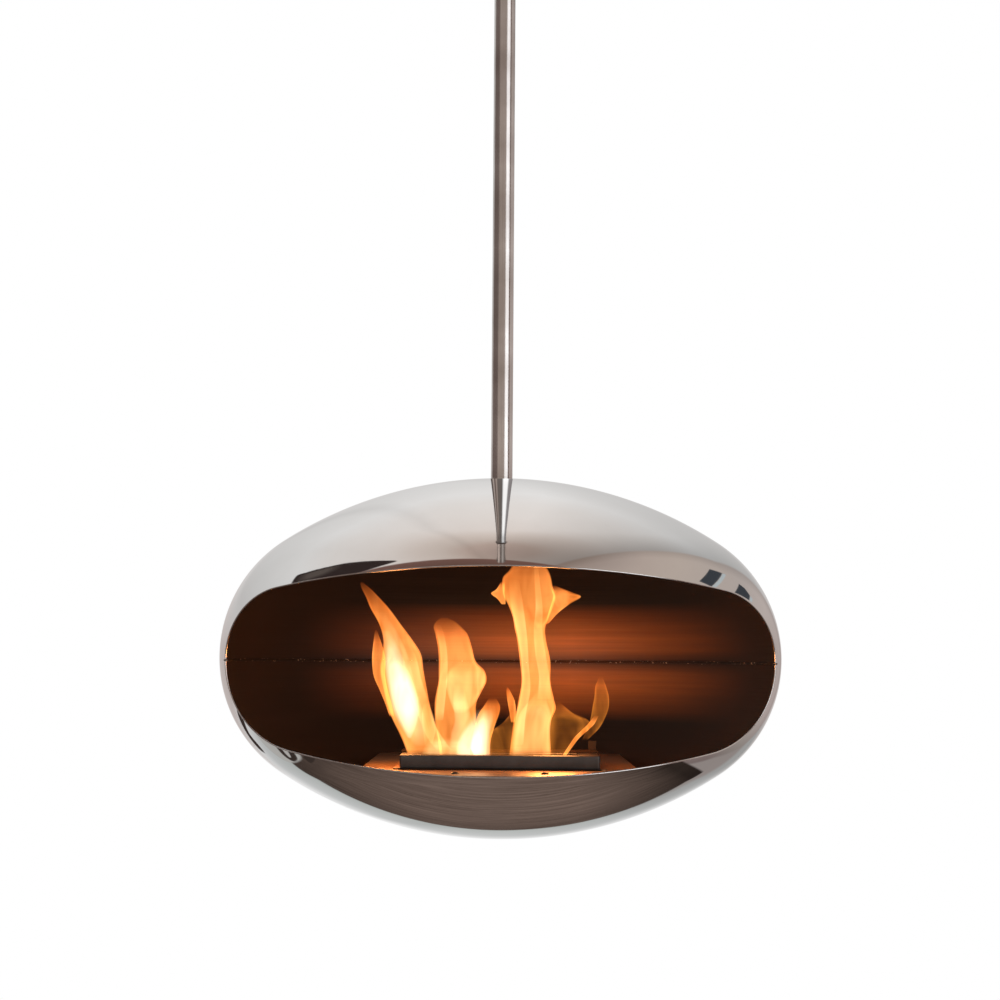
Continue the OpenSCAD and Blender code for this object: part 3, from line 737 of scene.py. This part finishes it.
edge_x, edge_z = CANOPY_R - CANOPY_EDGE, CANOPY_EDGE - CANOPY_H
section = [(CANOPY_R - CANOPY_WALL, -0.0001), (CANOPY_R, -0.0001)]
section += arc_section(edge_x, edge_z, CANOPY_EDGE, 0, -90)
section += [(PASS_R + CHAMFER, -CANOPY_H), (PASS_R, -CANOPY_H + CHAMFER),
            (PASS_R, -CANOPY_H + CANOPY_WALL)]
section += arc_section(edge_x, edge_z, CANOPY_EDGE - CANOPY_WALL, -90, 0)
canopy = lathe("ceiling_canopy", section, [POLE], count=128)
fit(canopy, CEILING, "canopy")

# ---- Burner ----

SLOT_W, SLOT_D, SLOT_Y = 0.170, 0.045, -0.1035
LID_ROUND, LID_INNER_ROUND, SLOT_ROUND = 0.003, 0.0015, 0.004
LID_Z, LID_TOP = HEARTH_Z + SHEET, HEARTH_Z + BURNER_H
inner = (BURNER_W - 2 * SHEET, BURNER_D - 2 * SHEET, LID_INNER_ROUND)
lid = skin("burner_lid", [
    round_rect(BURNER_W, BURNER_D, LID_ROUND, LID_Z, BURNER_Y),
    round_rect(BURNER_W, BURNER_D, LID_ROUND, LID_TOP, BURNER_Y),
    round_rect(SLOT_W, SLOT_D, SLOT_ROUND, LID_TOP, SLOT_Y),
    round_rect(SLOT_W, SLOT_D, SLOT_ROUND, LID_TOP - SHEET, SLOT_Y),
    round_rect(*inner, LID_TOP - SHEET, BURNER_Y),
    round_rect(*inner, LID_Z, BURNER_Y)], [BURNER], closed=True, bevel=0.0005)
fit(lid, POD, "burner_top")

# ---- Finishes of the pieces that stay as the part has them ----

for finish, names in (
        (ZINC, "ceiling_plate housing_screws thrust_washer castle_nut split_pin hanger_stud"),
        (ZINC, "hanger_washer cap_nut"), (FITTING, "bearing_housing spindle"),
        (BRASS, "spindle_bush bearing_cage"), (RACE, "lower_race bearing_balls upper_race"),
        (PAINT, "spreader_plate plate_supports"), (HEARTH, "hearth_plate burner_tray"),
        (SHADED_HEARTH, "damper"), (WOOL, "burner_wool")):
    for name in names.split():
        mesh = frame["nodes"][name].data
        mesh.materials.clear()
        mesh.materials.append(finish)


# ---- Flames, for the picture only ----

FLAME_Y, FLAME_Z = SLOT_Y, LID_TOP
TONGUE_SIDES, TONGUE_DEPTH, THINNEST, THICKEST = 32, 0.7, 0.0002, 0.016


def flame_finish(name, thin, thick, tip, limb_gain, soft, fall=1.0):
    """Glowing gas that adds its light to the scene: streaked, redder at the tip, soft at the limb."""
    f = Finish(name)
    swirl = f.noise(f.where((1, 1, 0.5)), 11, 2)
    bent = f.node("VectorMath", {0: f.where((1, 1, 0.16)), 1: f.times(swirl, 0.11)},
                  operation="ADD").outputs["Vector"]
    streaks = f.noise(bent, 52, 2, 0.5)
    up = f.node("Attribute", attribute_name="up").outputs["Fac"]
    limb = f.node("LayerWeight", {"Blend": 0.5}).outputs["Facing"]
    tone = f.mix(f.span(streaks, 0.36, 0.6), thin, thick)
    tone = f.mix(f.span(up, 0.72, 1.0), tone, tip)
    power = f.times(f.span(limb, 0.0, 0.45, 1.0, limb_gain),
                    f.math("POWER", f.span(limb, 1 - soft, 1.0, 1.0, 0.0), fall))
    power = f.times(power, f.span(up, 0.0, 0.04 + 0.16 * (fall - 1), 0.2, 1.0))
    power = f.times(power, f.span(up, 0.86 - 0.25 * (fall - 1), 1.0, 1.0, 0.1))
    return f.glow(f.node("AddShader", {0: f.clear(), 1: f.shine(tone, power)}).outputs[0])


def cubic(a, b, turn_a, turn_b, t):
    """The way from a to b, setting off along turn_a and coming in along turn_b."""
    return ((2 * t ** 3 - 3 * t ** 2 + 1) * a + (t ** 3 - 2 * t ** 2 + t) * turn_a
            + (3 * t ** 2 - 2 * t ** 3) * b + (t ** 3 - t ** 2) * turn_b)


def smooth(values, at):
    """Smooth curve through evenly spaced values."""
    i = np.clip(at.astype(int), 0, len(values) - 2)
    slope = np.gradient(values)
    return cubic(values[i], values[i + 1], slope[i], slope[i + 1], at - i)


def tongue(name, finish, rows):
    """A closed tongue of flame through rows of (height, left, right) in mm above the burner."""
    rows = np.array(rows, float) * MM
    fine = np.linspace(0, len(rows) - 1, 8 * len(rows))
    loops = []
    for z, left, right in np.stack([smooth(rows[:, i], fine) for i in range(3)], -1):
        half, mid = max((right - left) / 2, THINNEST), (left + right) / 2
        thick = min(half * TONGUE_DEPTH, THICKEST)
        turns = [TURN * i / TONGUE_SIDES for i in range(TONGUE_SIDES)]
        loops.append([(mid + half * math.cos(a), FLAME_Y + thick * math.sin(a), FLAME_Z + z)
                      for a in turns])
    obj = skin(name, loops, [finish], sharp=180)
    low, high = loops[0][0][2], loops[-1][0][2]
    mark(obj.data, "up", [(vertex.co.z - low) / (high - low) for vertex in obj.data.vertices])
    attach(obj, POD)
    obj.visible_shadow = obj.visible_diffuse = False
    return obj


ORANGE = flame_finish("flame_orange", (0.36, 0.09, 0.012), (0.58, 0.2, 0.042), (0.27, 0.05, 0.006),
                      1.35, 0.55)
FOLD = flame_finish("flame_fold", (0.08, 0.04, 0.011), (0.22, 0.125, 0.05), (0.12, 0.05, 0.01),
                    1.3, 0.7, 1.3)
YELLOW = flame_finish("flame_yellow", (0.1, 0.08, 0.028), (0.24, 0.2, 0.1), (0.1, 0.06, 0.02),
                      0.9, 0.95, 1.5)
WHITE = flame_finish("flame_white", (0.3, 0.3, 0.2), (0.5, 0.5, 0.42), (0.3, 0.25, 0.12), 0.8, 1.0, 2.4)
FAINT = flame_finish("flame_faint", (0.035, 0.009, 0.001), (0.12, 0.036, 0.004), (0.1, 0.024, 0.003),
                     2.2, 0.4)
FLAMES = (
    ("left", ORANGE, [(-3, -100, -62), (10, -105, -64), (21, -110, -67), (46, -122, -75),
        (69, -128, -80), (90, -132, -84), (108, -130, -87), (124, -129, -97), (141, -134, -110),
        (157, -143, -122), (169, -148, -133), (179, -153, -143), (186, -155, -152)]),
    ("left_tip", ORANGE, [(40, -121, -116), (54, -126, -119), (68, -132, -123), (84, -139, -126),
        (102, -141, -126), (118, -140, -130), (134, -138, -136)]),
    ("left_core", YELLOW, [(8, -94, -78), (26, -106, -78), (45, -114, -84), (64, -121, -90),
        (86, -126, -96), (108, -125, -102), (130, -127, -112), (154, -136, -128)]),
    ("left_heart", WHITE, [(16, -101, -97), (30, -110, -91), (44, -117, -88), (58, -121, -89),
        (74, -124, -94), (92, -127, -101), (112, -128, -110), (134, -131, -121)]),
    ("left_fold", FOLD, [(8, -82, -74), (30, -86, -70), (56, -96, -78), (80, -104, -86),
        (104, -108, -92), (124, -112, -102)]),
    ("foot", YELLOW, [(-2, -86, -28), (5, -84, -32), (11, -80, -38), (17, -78, -46)]),
    ("foot_curl", FOLD, [(4, -70, -52), (14, -78, -60), (26, -84, -68), (40, -86, -74),
        (54, -84, -78)]),
    ("middle", ORANGE, [(-3, -66, -14), (16, -68, -20), (32, -71, -25), (54, -72, -26), (68, -70, -20),
        (79, -68, -15), (90, -68, -17), (101, -68, -27), (115, -69, -31), (130, -72, -36),
        (138, -74, -43), (144, -71, -50), (148, -66, -58)]),
    ("middle_edge", FOLD, [(36, -71, -62), (58, -70, -60), (80, -67, -58), (104, -66, -58),
        (126, -69, -61), (140, -72, -66)]),
    ("middle_lobe", FOLD, [(44, -50, -38), (54, -54, -28), (66, -58, -21), (79, -60, -16),
        (92, -56, -19), (100, -46, -28)]),
    ("middle_core", YELLOW, [(-2, -56, -18), (20, -54, -24), (36, -50, -30), (58, -52, -36),
        (76, -50, -40)]),
    ("middle_heart", WHITE, [(-16, -46, -12), (0, -48, -10), (12, -47, -10), (24, -42, -10),
        (36, -35, -9), (48, -27, -9)]),
    ("lick", ORANGE, [(-2, -33, -11), (14, -31, -10), (29, -28, -6), (43, -24, -1), (52, -18, 0),
        (60, -13, -4)]),
    ("lick_core", YELLOW, [(-2, -34, -14), (14, -32, -13), (29, -27, -9), (42, -21, -7),
        (50, -16, -8)]),
    ("column", ORANGE, [(-3, 10, 56), (32, 14, 55), (49, 18, 61), (60, 20, 59), (79, 23, 55),
        (101, 21, 55), (124, 18, 50), (137, 15, 49), (149, 13, 53), (162, 8, 58), (172, 3, 60),
        (183, 1, 57), (193, 2, 55), (201, 9, 52), (212, 16, 45), (225, 24, 37)]),
    ("column_left", FOLD, [(10, 13, 26), (40, 17, 28), (70, 23, 33), (100, 23, 31), (130, 18, 29),
        (160, 11, 25), (190, 8, 20)]),
    ("column_right", FOLD, [(60, 40, 56), (84, 42, 54), (108, 38, 50), (134, 36, 46), (160, 38, 46),
        (186, 37, 43), (212, 36, 40)]),
    ("column_foot", FOLD, [(-2, 13, 56), (20, 15, 55), (42, 20, 56), (56, 30, 52), (68, 40, 49)]),
    ("barb_left", ORANGE, [(163, 1, 5), (169, -4, 5), (175, -11, 4), (180, -5, 4), (188, 0, 4)]),
    ("barb_right", ORANGE, [(142, 49, 52), (154, 52, 63), (164, 55, 76), (172, 57, 88), (177, 56, 78),
        (184, 54, 60)]),
    ("spark", ORANGE, [(34, 12, 16), (46, 10, 17), (57, 8, 16), (66, 7, 12), (73, 7, 8)]),
    ("stem", ORANGE, [(-2, 68, 72), (9, 75, 80), (18, 81, 87), (26, 89, 96), (33, 96, 103),
        (42, 103, 108)]),
    ("right", FAINT, [(16, 90, 96), (28, 95, 108), (40, 99, 115), (52, 101, 119), (63, 103, 119),
        (74, 104, 116), (84, 108, 112)]),
    ("veil_right", FAINT, [(-2, 54, 72), (18, 54, 86), (30, 54, 99), (38, 54, 96), (45, 56, 80),
        (56, 57, 66)]),
    ("veil_left", FAINT, [(-2, -12, 12), (14, -13, 14), (25, -9, 16), (34, 3, 18), (46, 13, 20)]),
)
flames = [tongue("flame_" + name, finish, rows) for name, finish, rows in FLAMES]


def lamp(name, kind, power, at, shines=False, **settings):
    """A lamp at a place, turned or not. One that shines shows in reflections too."""
    light = bpy.data.lights.new(name, kind)
    light.energy = power
    for key, value in settings.items():
        setattr(light, key, value)
    obj = add(name, light)
    obj.matrix_world = at
    obj.visible_glossy = shines
    return obj


for name, x, y, z, power, shines in (("left", -0.125, -0.06, 0.06, 0.75, True),
                                     ("middle", -0.03, FLAME_Y - 0.02, 0.03, 0.4, False),
                                     ("right", 0.06, FLAME_Y, 0.04, 0.75, True)):
    glow = lamp("flame_glow_" + name, "POINT", power, Matrix.Translation((x, y, FLAME_Z + z)), shines,
                color=(1.0, 0.36, 0.1), shadow_soft_size=0.03)
    glow.parent = flames[0]
    glow.matrix_parent_inverse = flames[0].matrix_world.inverted()


# ---- Studio ----

def reflected_only(obj):
    """Hides an object from all rays but glossy ones, so that only the mirror shows it."""
    obj.visible_camera = obj.visible_diffuse = obj.visible_shadow = False
    obj.visible_transmission = obj.visible_volume_scatter = False


def aim(azimuth, elevation):
    """Direction at an azimuth, from +Y towards +X, and an elevation, in degrees."""
    a, e = math.radians(azimuth), math.radians(elevation)
    return np.array([math.cos(e) * math.sin(a), math.cos(e) * math.cos(a), math.sin(e)])


def card(name, outline, colour, soft=0.1, radius=20.0, rounded=True):
    """A far card that only reflections show, with its outline in (azimuth, elevation) degrees."""
    rays = np.array([aim(*p) for p in outline])
    middle = rays.sum(0) / np.linalg.norm(rays.sum(0))
    ahead, back, beyond = (np.roll(rays, -k, 0) for k in (1, -1, 2))
    rim = []
    for a, b, before, after in zip(rays, ahead, back, beyond):
        turns = (0.5 * (b - before), 0.5 * (after - a)) if rounded else (b - a, b - a)
        rim += [cubic(a, b, *turns, t) for t in np.linspace(0, 1, 7)[:-1]]
    verts, faces, n = [middle], [], len(rim)
    for share in (0.5, 1 - soft, 1.0):
        ways = [middle + (ray / np.linalg.norm(ray) - middle) * share for ray in rim]
        verts += [way / np.linalg.norm(way) for way in ways]
    for i in range(n):
        j = (i + 1) % n
        faces.append((0, 1 + i, 1 + j))
        faces += [(low + i, low + n + i, low + n + j, low + j) for low in (1, 1 + n)]
    mesh = mesh_of(name, [v * radius + np.array([0, 0, POD_Z]) for v in verts], faces)
    mark(mesh, "fade", [1.0] * (len(verts) - n) + [0.0] * n)
    f = Finish(name + "_cloth")
    inward = f.node("Attribute", attribute_name="fade").outputs["Fac"]
    reflected_only(place(name, mesh, [f.glow(f.blend(inward, f.clear(), f.shine(colour)))]))


DARK, GLASS, FRAME = (0.045, 0.032, 0.027), (0.05, 0.056, 0.066), (0.5, 0.56, 0.58)
card("left_flag", [(-60, 34), (-62, 38), (-66.5, 44.5), (-71, 51), (-79, 57.7), (-84.4, 60.9),
    (-91, 63.4), (-92, 58.6), (-90, 51), (-84, 43), (-70, 30)], (0.035, 0.024, 0.022), soft=0.04)
card("left_flag_pale", [(-61.5, 35), (-63, 38), (-67, 44), (-70.5, 48.5), (-75, 48), (-75, 42),
    (-68, 33)], (0.1, 0.08, 0.07), soft=0.6, radius=19.5)
card("left_shade", [(-60, -20), (-60, 24), (-131, 24), (-131, -20)], (0.19, 0.145, 0.13), soft=0.25)
card("window_flag", [(112, -22), (112, 34), (154, 34), (154, -22)], (1.5, 1.5, 1.52), soft=0.16,
    rounded=False)
for name, colour, outline in (
        ("pane_one", GLASS, [(66.7, 36.2), (47.7, 33.5), (43.6, 28.4), (63.9, 31.6)]),
        ("sill_one", FRAME, [(43.6, 28.4), (42.6, 27.1), (63.5, 30.3), (63.9, 31.6)]),
        ("pane_two", GLASS, [(52.3, 23.8), (41.1, 22.2), (39.6, 19.6), (40.2, 17.3), (44.7, 17.4)]),
        ("sill_two", FRAME, [(40.2, 17.3), (40.1, 16.2), (43.1, 16.2), (44.7, 17.4)])):
    card(name, outline, colour, rounded=False)
card("low_left_pale", [(-29, -27), (-37, -34.5), (-45, -36.5), (-52, -32), (-52, -20), (-40, -16),
    (-33, -20)], (0.5, 0.49, 0.47))
card("low_left_one", [(-31, -10.8), (-35.2, -12.4), (-33, -14.2), (-27, -15), (-26, -17), (-23, -17.5),
    (-21.1, -14.5), (-24, -12.5)], DARK, radius=19.5)
card("low_left_two", [(-43.2, -26), (-46.2, -28.8), (-46, -31.8), (-44.8, -34.1), (-38.4, -34.1),
    (-33, -31), (-33.5, -28.8), (-37.4, -27.4)], DARK, radius=19.5)
card("low_left_fleck", [(-41.5, -29.5), (-42, -31.6), (-37, -31.6), (-36, -30.4)], (0.5, 0.48, 0.46),
    radius=19)
card("low_left_three", [(-44, -37), (-50, -40.5), (-47.7, -41.5), (-39, -38)], DARK, radius=19.5)
card("pole_tip", [(-4.2, 78.6), (-8.6, 84.1), (-36.1, 88.4), (-169.1, 84.7), (-174.9, 77.5),
    (174.9, 77.5), (169.1, 84.7), (36.1, 88.4), (8.6, 84.1), (4.2, 78.6)], (0.15, 0.12, 0.105),
    soft=0.05)
card("pole_tip_line", [(-5.3, 82.9), (-28.8, 88.5), (-176.2, 77.6), (-177.9, 77.6), (-16, 88.7),
    (-2.8, 82.9)], (0.62, 0.5, 0.44), radius=19.5)
card("pole_tip_band", [(1.1, 82.9), (6.3, 88.7), (179.2, 77.6), (177.1, 77.6), (22.9, 88.6),
    (4.1, 82.9)], (0.42, 0.37, 0.34), radius=19.5)
card("pole_collar", [(-5.2, 78.8), (5.2, 78.8), (7, 82.4), (-7, 82.4)], (0.06, 0.045, 0.04),
    radius=19.0)

FLOOR_Z, FLOOR_HALF = -2.05, 9.0


def floor_paint():
    """Pale matt floor that fades into the white surround and hides nothing from below."""
    f = Finish("studio_floor_paint", Roughness=0.9)
    cloud = f.noise(f.where(), 1.2, 3)
    f.set(Base_Color=f.ramp(cloud, (0.3, (0.90, 0.90, 0.895)), (0.7, (0.93, 0.93, 0.93))))
    seen = f.node("LightPath").outputs["Is Camera Ray"]
    far = f.times(seen, f.span(f.radius(), 1.2, 3.4))
    paint = f.blend(far, f.shader.outputs[0], f.shine((1, 1, 1)))
    return f.surface(f.blend(f.times(seen, f.back_side()), paint, f.clear()))


square = [(x * FLOOR_HALF, y * FLOOR_HALF, FLOOR_Z) for x, y in ((-1, -1), (1, -1), (1, 1), (-1, 1))]
floor = place("studio_floor", mesh_of("studio_floor", square, [(0, 1, 2, 3)]), [floor_paint()])
floor.visible_glossy = False


def pole_cloth():
    """Light and dark bands as the long pole shows them in the crown, seen from outside and in front."""
    f = Finish("pole_flag_cloth")
    reach = f.radius()
    across = f.span(f.math("DIVIDE", f.axis("X"), reach), -1, 1)
    bands = f.ramp(across, (0.06, (0.12, 0.1, 0.09)), (0.12, (0.5, 0.42, 0.38)),
                   (0.18, (0.085, 0.06, 0.05)), (0.25, (0.42, 0.34, 0.3)), (0.31, (0.16, 0.135, 0.12)),
                   (0.52, (0.16, 0.14, 0.13)), (0.6, 1.2), (0.77, 1.2), (0.84, (0.3, 0.28, 0.28)),
                   (1.0, (0.27, 0.25, 0.25)))
    bands = f.dim(bands, f.span(f.axis("Z"), -0.3, 0.1, 1.0, 0.62))
    rear = f.span(f.math("DIVIDE", f.axis("Y"), reach), -0.15, -0.1)
    return f.glow(f.blend(f.math("MAXIMUM", f.back_side(), rear), f.shine(bands), f.clear()))


# What the mirror shows of the pole: it runs on past the ceiling face, without the ceiling fitting
ROD_FOOT, ROD_R, ROD_TOP = foot + 0.003, 0.0131, 0.645
rod = [(0, ROD_FOOT), (ROD_R, ROD_FOOT), (ROD_R, -0.256), (0.017, 0.024), (0.0231, 0.366),
       (0.0278, ROD_TOP), (0, ROD_TOP)]
reflected_only(lathe("pole_flag", rod, [pole_cloth()], closed=False))
fitting = [frame["nodes"][name] for body in (CEILING, "ball_ring")
           for name in frame["record"]["behaviour"]["bodies"][body]]
for obj in fitting + [canopy, canopy_screws]:
    obj.visible_glossy = False


def by_height(shades, rise, *stops):
    """A colour by elevation, through (degrees, colour) stops."""
    return shades.ramp(rise, *(((degrees + 90) / 180, colour) for degrees, colour in stops))


def room(world):
    """A pale room for reflections: ceiling, right wall, wood floor and a dark beam over the camera."""
    world.use_nodes = True
    r = Shades(world.node_tree)
    r.nodes.clear()
    way = r.node("TexCoord").outputs["Generated"]
    x, y, z = (r.axis(letter, way) for letter in "XYZ")
    rise = r.plus(r.math("DIVIDE", r.math("ARCSINE", z), math.pi), 0.5)

    ceiling = by_height(
        r, rise, (-30, (0.56, 0.6, 0.58)), (-26, (0.61, 0.64, 0.63)), (-20, (0.68, 0.7, 0.7)),
        (-14, (0.9, 0.91, 0.91)), (-4, (1.1, 1.1, 1.1)), (2, (0.88, 0.86, 0.85)),
        (12, (0.75, 0.74, 0.73)), (20, (0.83, 0.83, 0.82)),
        (36, (0.97, 0.965, 0.955)), (46, (0.95, 0.91, 0.88)), (56, (0.93, 0.87, 0.83)),
        (63, (0.88, 0.8, 0.75)), (70, (0.77, 0.67, 0.61)), (76, (0.67, 0.57, 0.51)),
        (82, (0.55, 0.43, 0.37)), (90, (0.5, 0.38, 0.33)))
    # Planes through the pod's middle part the ceiling from the wall, the beam and the floor's end
    upright = r.vector(x, y, r.math("ABSOLUTE", z))
    corner = r.math("MINIMUM", r.dot(upright, (-0.86, 0.4, 0.315)),
                    r.dot(upright, (-0.823, 0.2355, 0.517)))
    depth = by_height(r, rise, (-15, 0.6), (-5, 0.85), (14, 0.7), (28, 0.55), (50, 0.45))
    crease = r.math("ABSOLUTE", r.dot(way, (0.9796, 0.1672, 0.1109)))
    shade = r.times(r.span(corner, 0.02, 0.43, depth), r.span(x, -0.05, -0.5, 1.0, 0.84),
                    r.span(crease, 0.0, 0.035, 0.92, 1.0))
    aside = r.times(r.span(r.math("ABSOLUTE", x), 0.17, 0.27), r.span(z, 0.16, 0.02),
                    r.span(z, -0.28, -0.14))
    tone = r.mix(aside, r.dim(ceiling, shade), (0.6, 0.54, 0.52))

    low_right = r.times(r.span(x, 0.14, 0.3), r.span(z, -0.08, -0.2))
    low_tone = r.mix(r.span(y, 0.85, 0.885), (0.335, 0.295, 0.28), (0.4, 0.405, 0.4))
    tone = r.mix(low_right, tone, low_tone)

    wall = by_height(
        r, rise, (-33, (0.27, 0.21, 0.2)), (-20, (0.38, 0.34, 0.31)), (-9, (0.51, 0.43, 0.41)),
        (0, (0.5, 0.43, 0.41)), (10, (0.57, 0.5, 0.47)), (20, (0.52, 0.46, 0.43)),
        (30, (0.52, 0.45, 0.41)), (44, (0.56, 0.475, 0.42)), (54, (0.53, 0.44, 0.39)),
        (62, (0.44, 0.36, 0.32)), (70, (0.35, 0.27, 0.23)), (80, (0.26, 0.18, 0.16)))
    wall = r.dim(wall, r.span(corner, -0.09, 0.0, 1.0, 0.78))
    tone = r.mix(r.span(corner, 0.012, -0.012), tone, wall)

    behind = r.dot(way, (0.19, 0.9526, 0.2377))
    beam = r.ramp(r.span(behind, 0.1, -0.9), (0.0, (0.2, 0.105, 0.085)), (0.2, (0.12, 0.07, 0.055)),
                  (0.4, (0.1, 0.07, 0.06)), (0.8, (0.42, 0.35, 0.31)))
    tone = r.mix(r.span(behind, 0.092, 0.076), tone, beam)

    down = r.node("VectorMath", {0: way, 1: r.vector(z, z, z)}, operation="DIVIDE").outputs["Vector"]
    planks = r.node("Mapping", {"Vector": down, "Scale": (0.5, 9, 1)}).outputs["Vector"]
    wood = r.mix(r.span(r.noise(planks, 5, 6, 0.7), 0.36, 0.64), (0.112, 0.077, 0.062),
                 (0.232, 0.165, 0.136))
    side = r.axis("X", down)
    dusk = r.times(r.span(side, -0.25, -0.7, 1.0, 0.2), r.span(side, 0.2, 0.75, 1.0, 0.5))
    wood = r.dim(wood, r.times(dusk, r.span(z, -0.5, -0.66, 0.72, 1.0)))
    edge = r.plus(z, r.span(x, 0.05, 0.22, 0, -0.03))
    floor_end = r.span(r.dot(way, (0.7806, 0.001, 0.625)), 0.0135, 0.0035)
    tone = r.mix(r.times(r.span(edge, -0.478, -0.49), floor_end), tone, wood)

    path = r.node("LightPath").outputs
    mirrored, plain, white = (r.node("Background", {"Color": full(colour)}).outputs[0]
                              for colour in (tone, (0.72, 0.73, 0.74), (1, 1, 1)))
    seen = r.blend(path["Is Camera Ray"], r.blend(path["Is Glossy Ray"], plain, mirrored), white)
    r.links.new(seen, r.node("OutputWorld").inputs["Surface"])
    return world


bpy.context.scene.world = room(bpy.data.worlds.new("studio"))

for name, place_at, power, size in (("key_lamp", (-2.0, -2.3, -0.35), 26, 2.0),
                                    ("fill_lamp", (2.4, -1.6, 0.6), 12, 2.4)):
    towards = (Vector((0, 0, POD_Z)) - Vector(place_at)).to_track_quat("-Z", "Y").to_matrix().to_4x4()
    lamp(name, "AREA", power, Matrix.Translation(place_at) @ towards, size=size)

CAMERA_AT, CAMERA_TILT, CAMERA_ROLL = (-0.0018, -2.24, POD_Z), 90 + 4.634, 0.4
camera = bpy.data.cameras.new("camera")
camera.lens, camera.sensor_width, camera.clip_start = 69.9, 36.0, 0.05
view = add("camera", camera)
view.matrix_world = (Matrix.Translation(CAMERA_AT)
                     @ Matrix.Rotation(math.radians(CAMERA_TILT), 4, "X")
                     @ Matrix.Rotation(math.radians(CAMERA_ROLL), 4, "Z"))
bpy.context.scene.camera = view
bpy.context.scene.view_settings.view_transform = "Standard"
